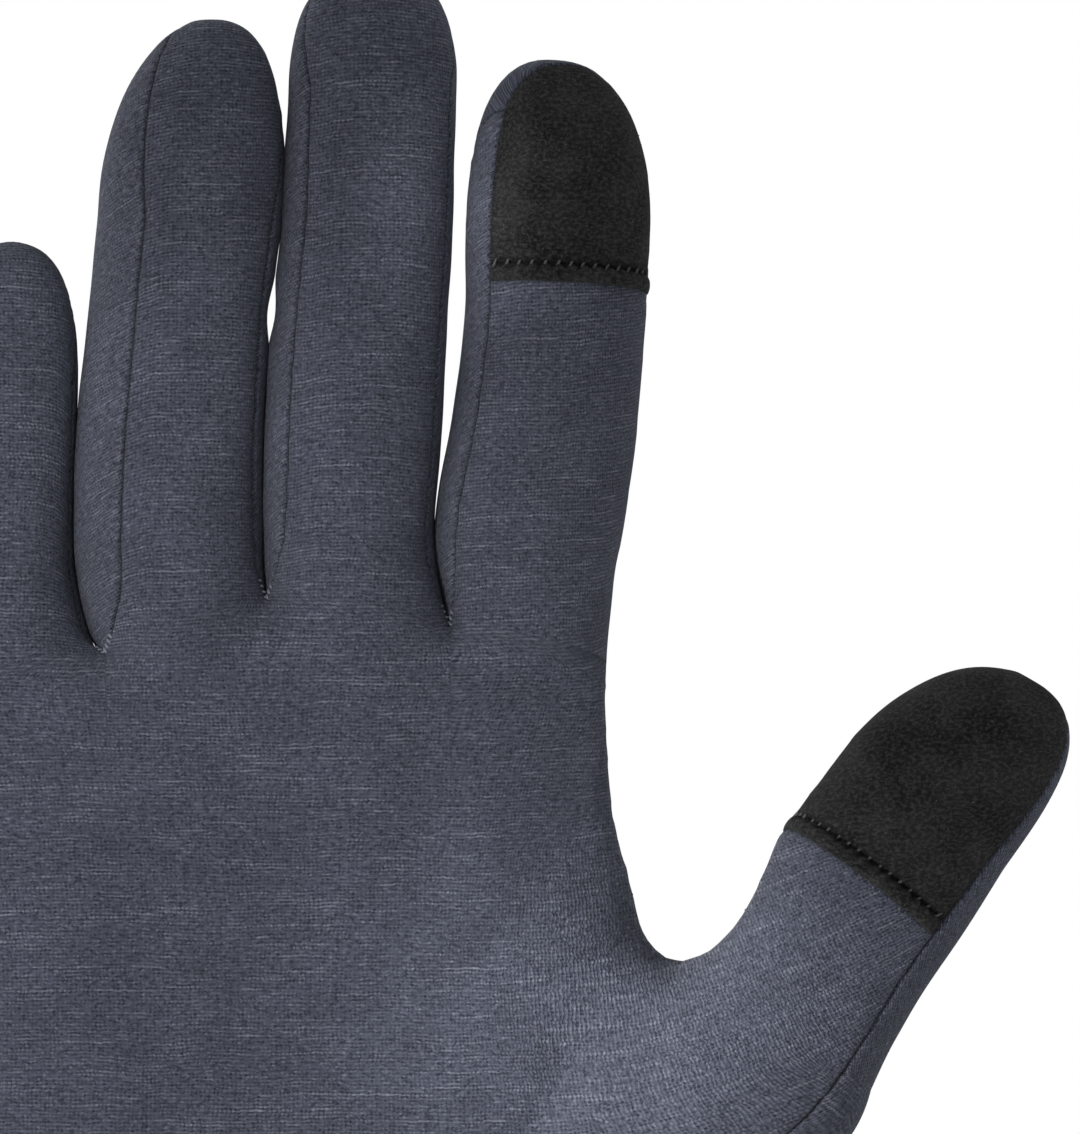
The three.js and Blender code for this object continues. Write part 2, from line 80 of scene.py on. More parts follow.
def ease(t: Array | float) -> Array:
    """Smooth step of a share between 0 and 1."""
    t = np.clip(t, 0, 1)
    return t * t * (3 - 2 * t)


def vectors(x: Array, y: Array, z: Array) -> Array:
    """Three arrays of coordinates as one array of points."""
    return np.stack(np.broadcast_arrays(x, y, z), axis=-1).astype(float)


def unit(arrows: Array) -> Array:
    """Arrows of length 1 in the same directions."""
    return arrows / np.maximum(np.linalg.norm(arrows, axis=-1, keepdims=True), TINY)


def middle_column(grid: Array) -> slice:
    """The place of a grid's middle column."""
    middle = grid.shape[1] // 2
    return slice(middle, middle + 1)


def travelled(points: Array, axis: int) -> Array:
    """Length along a line of points.

    Args:
        points: array of points whose last axis holds the coordinates.
        axis: the axis along which the line runs.

    Returns:
        The distance from the line's first point, with that axis kept.
    """
    steps = np.linalg.norm(np.diff(points, axis=axis), axis=-1)
    start = np.zeros_like(np.take(steps, [0], axis=axis))
    return np.concatenate([start, np.cumsum(steps, axis=axis)], axis=axis)


def read_along(at: Array, places: Array, line: Array) -> Array:
    """Points of a line at some places.

    Args:
        at: the places.
        places: the places of the line's own points.
        line: those points.

    Returns:
        One point for each place, between the two nearest of the line.
    """
    return np.stack([np.interp(at, places, line[:, axis]) for axis in range(3)], axis=-1)


def sine_cosine(degrees: float) -> tuple[float, float]:
    """Sine and cosine of an angle."""
    return math.sin(math.radians(degrees)), math.cos(math.radians(degrees))


class Table:
    """Rows of measurements that are read smoothly between their levels."""

    def __init__(self, columns: str, *rows: tuple[float, ...]) -> None:
        """Keeps the rows and works out the slope of every column at every level.

        Args:
            columns: names of the columns, the level first.
            rows: measurements, by rising level.
        """
        values = np.array(rows, float)
        self.names = columns.split()[1:]
        self.levels = values[:, 0]
        self.values = values[:, 1:]
        slopes = np.diff(self.values, axis=0) / np.diff(self.levels)[:, None]
        before, after = slopes[:-1], slopes[1:]
        turning = before * after <= 0
        total = np.where(turning, 1, before + after)
        self.bends = np.empty_like(self.values)
        self.bends[0] = slopes[0]
        self.bends[-1] = slopes[-1]
        self.bends[1:-1] = np.where(turning, 0, 2 * before * after / total)

    def read(self, at: Array | float) -> dict[str, Array]:
        """Value of every column at the given levels.

        Args:
            at: levels, which are held within the table.

        Returns:
            One array for each column, in the shape of the levels.
        """
        place = np.clip(np.asarray(at, float), self.levels[0], self.levels[-1])
        i = np.clip(np.searchsorted(self.levels, place) - 1, 0, len(self.levels) - 2)
        span = (self.levels[i + 1] - self.levels[i])[..., None]
        t = (place - self.levels[i])[..., None] / span
        a, b = self.values[i], self.values[i + 1]
        start, stop = self.bends[i] * span, self.bends[i + 1] * span
        found = a + t * start + t**2 * (3 * (b - a) - 2 * start - stop) + t**3 * (2 * (a - b) + start + stop)
        return {name: found[..., n] for n, name in enumerate(self.names)}


def middle_and_half(row: dict[str, Array], low: str, high: str) -> tuple[Array, Array]:
    """Middle between two columns of a row, and half of what lies between them."""
    return (row[low] + row[high]) / 2, (row[high] - row[low]) / 2


def share_to_right(run: Run, part: Array) -> Array:
    """Share of the way from the left side to the right side, at a part of a run."""
    return {Run.FRONT: part, Run.RIGHT: 1 + 0 * part, Run.BACK: 1 - part, Run.LEFT: 0 * part}[run]


@dataclass(frozen=True)
class EndSeam:
    """The seam over a finger's end: its reach to both sides and how far behind it lies, in degrees."""

    left: float
    right: float
    behind_left: float
    behind_right: float

    def heading(self, share: Array) -> Array:
        """Direction from the finger's middle line to the seam, from its left end to its right end."""
        angle = np.radians(mix(-self.left, self.right, share))
        behind = np.radians(mix(self.behind_left, self.behind_right, share))
        return vectors(np.sin(angle) * np.cos(behind), np.sin(behind), np.cos(angle) * np.cos(behind))


@dataclass(frozen=True)
class Finger:
    """One finger of the glove, which stands on its own straight line.

    The base is the line's foot, across and up, and the tilt is its lean towards the thumb, in degrees.
    The dome is the way up to the rounded end, and the length is the way to its top. The forks are the
    levels at which the finger parts from its neighbours, and the back's forks lie lower by the drop.
    The table holds the distances across and in depth, and the palm seams in degrees from the palm
    side's middle. The back seams are in degrees from the back's middle. A touch tip's rolled edge
    starts at its own way up, and rises by its arch in the middle.
    """

    name: str
    base: tuple[float, float]
    tilt: float
    dome: float
    length: float
    tip_across: float
    tip_depth: float
    left_fork: float
    right_fork: float
    back_drop: float
    back_left: float
    back_right: float
    end: EndSeam
    table: Table
    roll_at: float = 0.0
    roll_arch: float = 0.0
    power: float = 2.3
    lean_power: float = 1.6

    @property
    def middle_fork(self) -> float:
        """Level of the fork at the finger's middle."""
        return (self.left_fork + self.right_fork) / 2

    def point(self, along: Array, heading: Array) -> Array:
        """Points of the surface.

        Args:
            along: the way up the finger.
            heading: direction from the middle line as (across, depth, along).

        Returns:
            Points in the frame of the part, in millimetres.
        """
        level = np.minimum(along, self.dome)
        row = self.table.read(level)
        reach = np.sum(np.abs(heading) ** self.power, axis=-1) ** (-1 / self.power)
        lift = heading[..., 2] * reach
        lean = np.clip(lift, 0, None) ** self.lean_power
        middle_x, half_x = middle_and_half(row, "left", "right")
        middle_y, half_y = middle_and_half(row, "front", "back")
        across = mix(middle_x, self.tip_across, lean) + half_x * heading[..., 0] * reach
        depth = mix(middle_y, self.tip_depth, lean) + half_y * heading[..., 1] * reach
        up = level + (self.length - self.dome) * lift
        sine, cosine = sine_cosine(self.tilt)
        x, z = self.base
        return vectors(x + up * sine + across * cosine, depth, z + up * cosine - across * sine)

    def span(self, run: Run, along: Array) -> tuple[Array, Array]:
        """Angles at which a run starts and ends, in degrees from the palm side's middle."""
        row = self.table.read(np.minimum(along, self.dome))
        left, right = row["seam_left"], row["seam_right"]
        back_right, back_left = 180 - self.back_right + 0 * right, 180 + self.back_left + 0 * left
        return {
            Run.FRONT: (-left, right),
            Run.RIGHT: (right, back_right),
            Run.BACK: (back_right, back_left),
            Run.LEFT: (back_left, 360 - left),
        }[run]

    def sideways(self, run: Run, along: Array, part: Array) -> Array:
        """Headings across the finger's line at a part of a run."""
        start, stop = self.span(run, along)
        angle = np.radians(mix(start, stop, part))
        return vectors(np.sin(angle), -np.cos(angle), 0 * angle)

    def tube(self, run: Run, share: Array, part: Array) -> Array:
        """Points of a run between the forks at share 0 and the rounded end at share 1."""
        heading = self.sideways(run, mix(self.middle_fork, self.dome, share), part)
        fork = mix(self.left_fork, self.right_fork, (1 + heading[..., 0]) / 2)
        behind = self.back_drop * (1 + heading[..., 1]) / 2
        return self.point(mix(fork - behind, self.dome, share), heading)

    def cap(self, run: Run, share: Array, part: Array) -> Array:
        """Points of a run on the rounded end, from its foot at share 0 to the end seam at share 1."""
        start = self.sideways(run, self.dome + 0 * part, part)
        stop = self.end.heading(share_to_right(run, part))
        turn = np.arccos(np.clip(np.sum(start * stop, axis=-1), -1, 1))
        heading = np.sin((1 - share) * turn)[..., None] * start + np.sin(share * turn)[..., None] * stop
        return self.point(self.dome + 0 * part, heading / np.sin(turn)[..., None])

    def hem_share(self, part: Array) -> Array:
        """Share of the tube at which the black tip's rolled edge starts, a little higher in its middle."""
        return (self.roll_at + self.roll_arch * (1 - (2 * part - 1) ** 2)) / self.dome


FINGER_COLUMNS = "along left right front back seam_left seam_right"
FINGERS = {
    "little": Finger(
        "little", base=(-37.7, 156.6), tilt=2.6, dome=36, length=53.7, tip_across=0.2, tip_depth=-5.5,
        left_fork=-4, right_fork=1.2, back_drop=3, back_left=62, back_right=52,
        end=EndSeam(50, 50, 8, 8),
        table=Table(
            FINGER_COLUMNS,
            (-4, -12.2, 14.2, -12.6, 10.6, 80, 72),
            (5, -10.9, 11.3, -11.8, 9.2, 80, 74),
            (13, -10.0, 9.4, -11.4, 7.6, 80, 76),
            (24, -9.4, 9.1, -11.6, 5.4, 80, 76),
            (36, -9.1, 9.1, -12.2, 3.4, 80, 74),
        ),
    ),
    "ring": Finger(
        "ring", base=(-13.9, 158.6), tilt=3.2, dome=54.5, length=80.5, tip_across=0.6, tip_depth=-7,
        left_fork=-1.9, right_fork=7.2, back_drop=3, back_left=54, back_right=52,
        end=EndSeam(18, 50, 6, 8),
        table=Table(
            FINGER_COLUMNS,
            (-2, -9.8, 11.3, -14.0, 12.4, 58, 70),
            (5, -12.3, 10.9, -13.4, 11.0, 38, 70),
            (13, -13.9, 9.9, -13.2, 9.4, 29, 68),
            (26, -14.3, 9.3, -13.4, 7.0, 27, 66),
            (40, -13.9, 9.3, -14.0, 5.0, 26, 66),
            (54.5, -13.4, 10.2, -14.4, 3.4, 26, 66),
        ),
    ),
    "middle": Finger(
        "middle", base=(9.4, 161.2), tilt=1.3, dome=69, length=85.2, tip_across=0.5, tip_depth=-7.5,
        left_fork=3.9, right_fork=0.8, back_drop=3, back_left=52, back_right=52,
        end=EndSeam(34, 50, 4, 8),
        table=Table(
            FINGER_COLUMNS,
            (0, -11.7, 11.8, -14.6, 13.2, 66, 70),
            (11, -11.8, 9.4, -13.8, 10.8, 50, 66),
            (24, -12.2, 10.3, -13.6, 8.4, 46, 64),
            (40, -11.5, 10.9, -14.0, 6.2, 46, 64),
            (54, -10.4, 11.3, -14.4, 4.6, 46, 66),
            (69, -10.3, 11.4, -14.6, 3.2, 46, 66),
        ),
    ),
    "index": Finger(
        "index", base=(31.6, 158.6), tilt=3.2, dome=53.5, length=75.3, tip_across=-0.6, tip_depth=-6,
        left_fork=2.5, right_fork=-1, back_drop=3, back_left=52, back_right=62,
        end=EndSeam(40, 50, -34, 4),
        table=Table(
            FINGER_COLUMNS,
            (-1, -10.2, 10.4, -14.2, 12.8, 60, 100),
            (8, -11.8, 10.7, -13.4, 11.2, 54, 102),
            (15, -12.6, 11.6, -13.0, 9.8, 50, 102),
            (30, -11.2, 12.6, -12.6, 7.6, 46, 102),
            (42, -10.6, 12.9, -12.8, 6.0, 45, 102),
            (53.5, -11.1, 12.9, -13.0, 5.0, 45, 100),
        ),
        roll_at=46.2, roll_arch=0.7,
    ),
    "thumb": Finger(
        "thumb", base=(64.2, 108.7), tilt=34.8, dome=33, length=55.4, tip_across=2.0, tip_depth=-13.5,
        left_fork=0, right_fork=0, back_drop=0, back_left=60, back_right=56,
        end=EndSeam(50, 18, 12, 2),
        table=Table(
            FINGER_COLUMNS,
            (0, -14.2, 14.4, -21.0, 5.0, 88, 40),
            (7, -12.2, 13.1, -21.0, 3.4, 94, 43),
            (14, -13.1, 12.6, -21.0, 1.6, 98, 44),
            (21, -14.2, 12.5, -21.4, 0.0, 100, 46),
            (33, -13.9, 11.9, -21.8, -3.0, 100, 52),
        ),
        roll_at=21.3, roll_arch=1.3,
    ),
}
LONG_FINGERS = ("little", "ring", "middle", "index")


@dataclass(frozen=True)
class Outline:
    """A level outline of the hand or the wrist, whose outer runs start and end at shares of its half depth.

    Its half sizes only set how length is shared out round it.
    """

    LINE_POINTS = 3001
    ANCHORS = 5

    left: tuple[float, float]
    right: tuple[float, float]
    power: float
    half_sizes: tuple[float, float]
    table: Table

    def line(self, run: Run) -> tuple[Array, Array, Array]:
        """A run of the outline in shares of the half width and depth, with its length as a share.

        Args:
            run: the run.

        Returns:
            Places across, places in depth, and the share of the run's length at each.
        """
        def turned(deep: float) -> float:
            """The angle from the palm side's middle at which the right side has a given depth."""
            return math.acos(-math.copysign(abs(deep) ** (self.power / 2), deep))

        front_left, back_left = (math.tau - turned(deep) for deep in self.left)
        front_right, back_right = (turned(deep) for deep in self.right)
        span = {
            Run.FRONT: (front_left - math.tau, front_right),
            Run.RIGHT: (front_right, back_right),
            Run.BACK: (back_right, back_left),
            Run.LEFT: (back_left, front_left),
        }[run]
        angle = np.linspace(*span, self.LINE_POINTS)
        across = np.sign(np.sin(angle)) * np.abs(np.sin(angle)) ** (2 / self.power)
        deep = -np.sign(np.cos(angle)) * np.abs(np.cos(angle)) ** (2 / self.power)
        length = travelled(np.stack([across, deep], axis=-1) * np.array(self.half_sizes), 0)
        return across, deep, length / length[-1]

    def share_across(self, run: Run, place: Array) -> Array:
        """Share of a run's length at a share of its width."""
        across, _, share = self.line(run)
        forward = np.sign(across[-1] - across[0])
        return np.interp(forward * mix(across[0], across[-1], place), forward * across, share)

    def point(self, z: Array, run: Run, share: Array) -> Array:
        """Points at given levels, on one run.

        Args:
            z: levels.
            run: the run on which the points lie.
            share: share of the run's length, from 0 at its start to 1 at its end.

        Returns:
            Points in millimetres.
        """
        row = self.table.read(z)
        across, deep, length = self.line(run)
        middle_x, half_x = middle_and_half(row, "left", "right")
        middle_y, half_y = middle_and_half(row, "front", "back")
        x = middle_x + half_x * np.interp(share, length, across)
        y = middle_y + half_y * np.interp(share, length, deep)
        return vectors(x, y, z + 0 * share)

    def shares(self, turn: dict[Run, Array]) -> dict[Run, Array]:
        """Where the columns of a turn come down on this outline.

        The front and the back are shared out by width at a few columns, and smoothly between those.

        Args:
            turn: the points of each run of the turn.

        Returns:
            Share of the run's length at each column.
        """
        found = {}
        steps = np.arange(1, self.ANCHORS + 1)
        for run, points in turn.items():
            arc = travelled(points, 0)
            if run in (Run.RIGHT, Run.LEFT):
                found[run] = arc / arc[-1]
                continue
            chosen = [0]
            for block in range(0, len(points) - 1, SPACING.face):
                places = arc[block] + (arc[block + SPACING.face] - arc[block]) * steps / self.ANCHORS
                chosen += [int(np.argmin(np.abs(arc - place))) for place in places]
            x = points[chosen, 0]
            share = self.share_across(run, np.clip((x - x[0]) / (x[-1] - x[0]), 0, 1))
            found[run] = Table("arc share", *zip(arc[chosen], share)).read(arc)["share"]
        return found


OUTLINE_COLUMNS = "z left right front back"
PALM = Outline(left=(-0.3, 0.55), right=(-0.05, 0.6), power=2.6, half_sizes=(46, 14.4), table=Table(
    OUTLINE_COLUMNS,
    (117, -50.0, 51.6, -15.0, 14.0),
    (121, -50.0, 48.0, -14.8, 14.2),
    (127, -50.0, 45.2, -14.6, 14.4),
    (138, -50.1, 42.4, -14.4, 14.4),
    (150, -50.1, 41.8, -14.2, 13.8),
    (160, -49.8, 42.4, -14.0, 13.2),
))
WRIST = Outline(left=(-0.35, 0.45), right=(-0.3, 0.45), power=2.2, half_sizes=(33.5, 20.5), table=Table(
    OUTLINE_COLUMNS,
    (0, -34.0, 34.0, -22.0, 22.0),
    (18, -32.8, 32.8, -21.0, 21.0),
    (36, -32.2, 32.2, -20.4, 20.4),
    (58, -33.6, 33.8, -20.6, 19.8),
))


@dataclass(frozen=True)
class Swelling:
    """A rounded swelling of the palm or the back, or a hollow where its height is below zero."""

    x: float
    z: float
    reach_x: float
    reach_z: float
    height: float

    def at(self, points: Array) -> Array:
        """Its height at each point."""
        across, up = (points[..., 0] - self.x) / self.reach_x, (points[..., 2] - self.z) / self.reach_z
        return self.height * np.exp(-(across**2 + up**2))


SWELLINGS = {
    Run.FRONT: (
        Swelling(48, 92, 22, 30, 4.5),
        Swelling(-33, 90, 16, 34, 3.0),
        Swelling(0, 118, 22, 26, -3.2),
        Swelling(-4, 151, 44, 9, 1.2),
    ),
    Run.BACK: (
        Swelling(30, 146, 9, 12, 1.6),
        Swelling(9, 149, 9, 12, 2.0),
        Swelling(-14, 147, 9, 12, 1.6),
        Swelling(-36, 141, 9, 12, 1.2),
    ),
}


def swell(run: Run, points: Array) -> Array:
    """How far the swellings push points of a run along y."""
    if run not in SWELLINGS:
        return np.zeros(points.shape[:-1])
    height = sum(swelling.at(points) for swelling in SWELLINGS[run])
    return -height if run is Run.FRONT else height


@dataclass
class Sheet:
    """A grid of cloth: rows go up the hand, columns follow the turn round it.

    Each point has its place in the flat pattern, its distance to the nearest seam, the length along
    that seam, and how far the cloth is lifted there. The first number is that of its first point
    among all points of its panel.
    """

    points: Array
    flat: Array
    seam: Array
    stitch: Array
    lift: Array | None = None
    first: int = 0

    def edge(self, column: int) -> Array:
        """Numbers of the points along its first or last column."""
        rows, columns = self.seam.shape
        return self.first + np.arange(rows) * columns + (column % columns)

    def areas(self) -> Array:
        """The share of cloth of each point, in one row."""
        across, up = (np.linalg.norm(np.gradient(self.points, axis=way), axis=-1) for way in (1, 0))
        return (across * up).ravel()


@dataclass(frozen=True)
class Spacing:
    """How finely the cloth is divided, in millimetres and steps.

    The columns near a seam move closer together where a run is narrower than their width this many times.
    """

    near_seam: tuple[float, ...] = (0.0, 0.14, 0.32, 0.58, 0.95, 1.45, 2.2)
    narrow: float = 3.0
    face: int = 30
    side: int = 18
    tip: int = 64
    row: float = 1.15
    cap: int = 24

    def across(self, length: Array, steps: int) -> Array:
        """Places of the columns across a run of cloth, close together at its two seams.

        Args:
            length: length of the run in each row.
            steps: number of steps across.

        Returns:
            Distance of each column from the run's start, one row for each length.
        """
        near = np.array(self.near_seam)
        scale = np.minimum(1, length / (near[-1] * self.narrow))[:, None]
        start = near[None, :] * scale
        stop = length[:, None] - start[:, ::-1]
        between = steps - 2 * len(near) + 1
        share = np.arange(1, between + 1)[None, :] / (between + 1)
        return np.concatenate([start, mix(start[:, -1:], stop[:, :1], share), stop], axis=1)


SPACING = Spacing()


@dataclass(frozen=True)
class Seaming:
    """Which edges of each finger's runs are sewn, rather than folded over from the next run."""

    back_left: bool
    back_right: bool


SEAMING = {
    "little": Seaming(back_left=False, back_right=True),
    "ring": Seaming(back_left=True, back_right=True),
    "middle": Seaming(back_left=True, back_right=True),
    "index": Seaming(back_left=True, back_right=False),
    "thumb": Seaming(back_left=False, back_right=False),
}


def seam_edges(finger: str, run: Run) -> tuple[bool, bool]:
    """Tells whether a run's start and end are sewn."""
    sewn = SEAMING[finger]
    return {
        Run.FRONT: (True, True),
        Run.RIGHT: (True, sewn.back_right),
        Run.BACK: (sewn.back_right, sewn.back_left),
        Run.LEFT: (sewn.back_left, True),
    }[run]


def to_seams(arc: Array, length: Array, sewn: tuple[bool, bool]) -> tuple[Array, Array]:
    """How far a sheet's points are from its two side seams.

    Args:
        arc: length along each row.
        length: length up each column.
        sewn: whether its start and its end are sewn.

    Returns:
        The distance to the nearer seam, and the length along that seam.
    """
    width = arc[:, -1:]
    to_start = arc if sewn[0] else NO_SEAM + arc
    to_end = width - arc if sewn[1] else NO_SEAM + width - arc
    return np.minimum(to_start, to_end), np.where(to_start < to_end, length[:, :1], length[:, -1:])


def saddle_between(mine: Array, theirs: Array, drop: float) -> Array:
    """The line halfway between two edges of a fork, which dips between the front and the back."""
    saddle = (mine + theirs) / 2
    saddle[:, 2] -= drop * np.sin(np.pi * EDGE_PLACES)
    return saddle


class FingerCloth:
    """The cloth of one finger, run by run, with its saddles pulled to those of its neighbours.

    The reach of a saddle and the foot with its closer rows are shares of the tube.
    """

    SADDLE_REACH = 0.12
    SADDLE_FADE = 1.5
    PULL_WIDTH = 0.35
    FOOT = 0.04
    FOOT_STEPS = 6
    END_ROWS = 5
    BELOW_HEM = 0.03
    HEM_STEPS = 3
    SIDE_OFFSET = 18.0

    def __init__(self, finger: Finger) -> None:
        """Lays out the rows of the finger.

        Args:
            finger: its measurements.
        """
        self.finger = finger
        rows = round((finger.dome - finger.middle_fork) / SPACING.row)
        foot = 1 - np.cos(np.linspace(0, np.pi / 2, self.FOOT_STEPS + 1))[1:-1]
        above = np.linspace(self.FOOT, 1, rows)
        self.shares = np.unique(np.concatenate([[0], foot * self.FOOT, above]))
        near = 1 - np.array(SPACING.near_seam[:self.END_ROWS])[::-1] / (finger.length - finger.dome)
        self.cap_shares = np.concatenate([np.linspace(0, near[0], SPACING.cap)[1:-1], near])
        self.pulls: dict[Run, Array] = {}

    def steps(self, run: Run) -> int:
        """Number of steps across a run."""
        return SPACING.face if run in (Run.FRONT, Run.BACK) else SPACING.side

    def parts(self, run: Run, shares: Array, steps: int) -> Array:
        """Share of the run at every column, so that the columns stand at their distances from the seams.

        Args:
            run: the run.
            shares: share of the tube at every row.
            steps: number of steps across.

        Returns:
            One row of shares for each row of the tube.
        """
        lengths = travelled(self.finger.tube(run, shares[:, None], EDGE_PLACES[None, :]), 1)
        places = SPACING.across(lengths[:, -1], steps)
        return np.stack([np.interp(place, length, EDGE_PLACES) for place, length in zip(places, lengths)])

    def pulled(self, run: Run, points: Array, shares: Array, part: Array) -> Array:
        """Points of a run after its foot has been pulled to the saddle that it shares with its neighbour."""
        if not self.pulls:
            return points
        fade = np.clip(1 - shares / self.SADDLE_REACH, 0, 1)[..., None]
        return points + read_along(part, EDGE_PLACES, self.pulls[run]) * fade**self.SADDLE_FADE

    def base(self, run: Run) -> Array:
        """Points of the finger's lowest row on one run, at its columns."""
        part = self.parts(run, np.zeros(1), self.steps(run))
        points = self.finger.tube(run, np.zeros_like(part), part)
        return self.pulled(run, points, np.zeros_like(part), part)[0]

    def join(self, other: "FingerCloth", drop: float) -> None:
        """Pulls this finger's right foot and another's left foot to one saddle between them.

        Args:
            other: the cloth of the finger to the right.
            drop: how far the cloth dips between the front and the back of the fork.
        """
        mine = self.finger.tube(Run.RIGHT, 0 * EDGE_PLACES, EDGE_PLACES)
        theirs = other.finger.tube(Run.LEFT, 0 * EDGE_PLACES, EDGE_PLACES)[::-1]
        saddle = saddle_between(mine, theirs, drop)
        self.keep_pull(Run.RIGHT, saddle - mine)
        other.keep_pull(Run.LEFT, (saddle - theirs)[::-1])

    def keep_pull(self, run: Run, pull: Array) -> None:
        """Keeps the pull of one side, and its share of the front's and the back's.

        Args:
            run: the side run.
            pull: how far each of its points moves.
        """
        if not self.pulls:
            self.pulls = {name: np.zeros((len(EDGE_PLACES), 3)) for name in Run}
        self.pulls[run] = pull
        near = np.clip(1 - EDGE_PLACES / self.PULL_WIDTH, 0, 1)[:, None] ** 2
        following, before = (Run.BACK, Run.FRONT) if run is Run.RIGHT else (Run.FRONT, Run.BACK)
        self.pulls[following] = self.pulls[following] + near * pull[-1]
        self.pulls[before] = self.pulls[before] + near[::-1] * pull[0]

    def grid(self, run: Run, shares: Array, steps: int) -> tuple[Array, Array]:
        """Points of the tube at rows that may bend.

        Args:
            run: the run.
            shares: share of the tube, by row, or by row and column.
            steps: number of steps across.

        Returns:
            The points, and the share of the run at each.
        """
        level = shares.mean(axis=1) if shares.ndim == 2 else shares
        part = self.parts(run, level, steps)
        rows = shares if shares.ndim == 2 else shares[:, None] + 0 * part
        points = self.finger.tube(run, rows, part)
        return self.pulled(run, points, rows, part), part

    def cap_rows(self, run: Run, part: Array) -> Array:
        """Points of the rounded end above a row of columns."""
        shares = self.cap_shares[:, None]
        return self.finger.cap(run, shares, part[None, :] + 0 * shares)

    def sheet(self, run: Run) -> Sheet:
        """A whole run of wool, from the fork to the end seam."""
        points, part = self.grid(run, self.shares, self.steps(run))
        points = np.concatenate([points, self.cap_rows(run, part[-1])])
        return self.dressed(run, points, len(self.shares))

    def hem_line(self, steps: int) -> Array:
        """Share of the tube at each column of the black tip's lower edge."""
        roll = np.array([self.finger.roll_at / self.finger.dome])
        return self.finger.hem_share(self.parts(Run.FRONT, roll, steps)[0])

    def wool_below_tip(self) -> Sheet:
        """The palm side's run of wool, from the fork up to the black tip's rolled edge."""
        steps = self.steps(Run.FRONT)
        hem = self.hem_line(steps)
        rows = self.shares[self.shares < hem.min() - self.BELOW_HEM] / hem.min()
        rows = np.concatenate([rows, np.linspace(rows[-1], 1, self.HEM_STEPS + 1)[1:]])
        points, _ = self.grid(Run.FRONT, rows[:, None] * hem[None, :], steps)
        sheet = self.dressed(Run.FRONT, points, len(rows) + 1)
        to_hem = travelled(points, 0)[-1] - travelled(points, 0)
        sheet.seam = np.minimum(sheet.seam, to_hem)
        return sheet

    def tip(self, roll_rows: Array) -> Sheet:
        """The black tip's own run, with close rows over its rolled edge.

        Args:
            roll_rows: distances of those rows from the edge, in millimetres.

        Returns:
            The sheet, without its roll's height.
        """
        hem = self.hem_line(SPACING.tip)
        roll = roll_rows[:, None] / self.finger.dome + hem[None, :]
        count = round((1 - roll[-1].max()) * self.finger.dome / SPACING.row) + 2
        above = np.linspace(0, 1, count)[1:]
        rows = np.concatenate([roll, mix(roll[-1][None, :], 1.0, above[:, None])])
        points, part = self.grid(Run.FRONT, rows, SPACING.tip)
        points = np.concatenate([points, self.cap_rows(Run.FRONT, part[-1])])
        return self.dressed(Run.FRONT, points, len(rows))

    def dressed(self, run: Run, points: Array, tube_rows: int) -> Sheet:
        """Adds the flat pattern and the distance to the seams to a grid of points.

        Args:
            run: the run that the grid covers.
            points: its points.
            tube_rows: how many of its rows are on the tube; the others are on the rounded end.

        Returns:
            The sheet.
        """
        arc = travelled(points, 1)
        length = travelled(points, 0)
        seam, stitch = to_seams(arc, length, seam_edges(self.finger.name, run))
        if len(points) > tube_rows:
            to_cap = length[-1:] - length
            stitch = np.where(to_cap < seam, arc[-1:] + length[-1, 0], stitch)
            seam = np.minimum(seam, to_cap)
        return Sheet(points, self.flattened(run, points, arc, length), seam, stitch)

    def flattened(self, run: Run, points: Array, arc: Array, length: Array) -> Array:
        """Flat pattern of a run: as seen from its own side of the glove, in the plane of the hand.

        Args:
            run: the run.
            points: its points.
            arc: length along each row.
            length: length up each column.

        Returns:
            Flat coordinates in millimetres.
        """
        middle = middle_column(arc)
        sine, cosine = sine_cosine(self.finger.tilt)
        base_x, base_z = self.finger.base
        x, z = points[..., 0] - base_x, points[..., 2] - base_z
        up = (x * sine + z * cosine)[:1] + length
        offset = run.facing * (x * cosine - z * sine)[:, middle]
        if run in (Run.RIGHT, Run.LEFT):
            offset = -self.SIDE_OFFSET if run is Run.RIGHT else self.SIDE_OFFSET
        across = arc - arc[:, middle] + offset
        flat_x = run.facing * base_x + run.facing * up * sine + across * cosine
        flat_z = base_z + up * cosine - run.facing * across * sine
        return np.stack([flat_x, flat_z], axis=-1)


@dataclass(frozen=True)
class Touch:
    """Levels between which two fingers touch, and over how far they part above and below."""

    low: float
    high: float
    parts_below: float
    parts_above: float

    def closeness(self, z: Array) -> Array:
        """How closely they touch at a level, from 0 to 1."""
        return ease((z - self.low) / self.parts_below + 1) * ease((self.high - z) / self.parts_above + 1)


TOUCHES = {
    "little": (Touch(150, 186, 3, 16),),
    "ring": (Touch(150, 196, 3, 5), Touch(206.5, 214, 5, 22)),
    "middle": (Touch(150, 171, 3, 20),),
}


def touching(finger: str, z: Array) -> Array:
    """How closely a finger and its right neighbour touch at a level, from 0 to 1."""
    return np.clip(sum(touch.closeness(z) for touch in TOUCHES[finger]), 0, 1)


@dataclass(frozen=True)
class Push:
    """A soft push of the cloth at the web: how far across and up, where from the web, and its reach."""

    across: float
    up: float
    at_x: float
    at_z: float
    reach: float


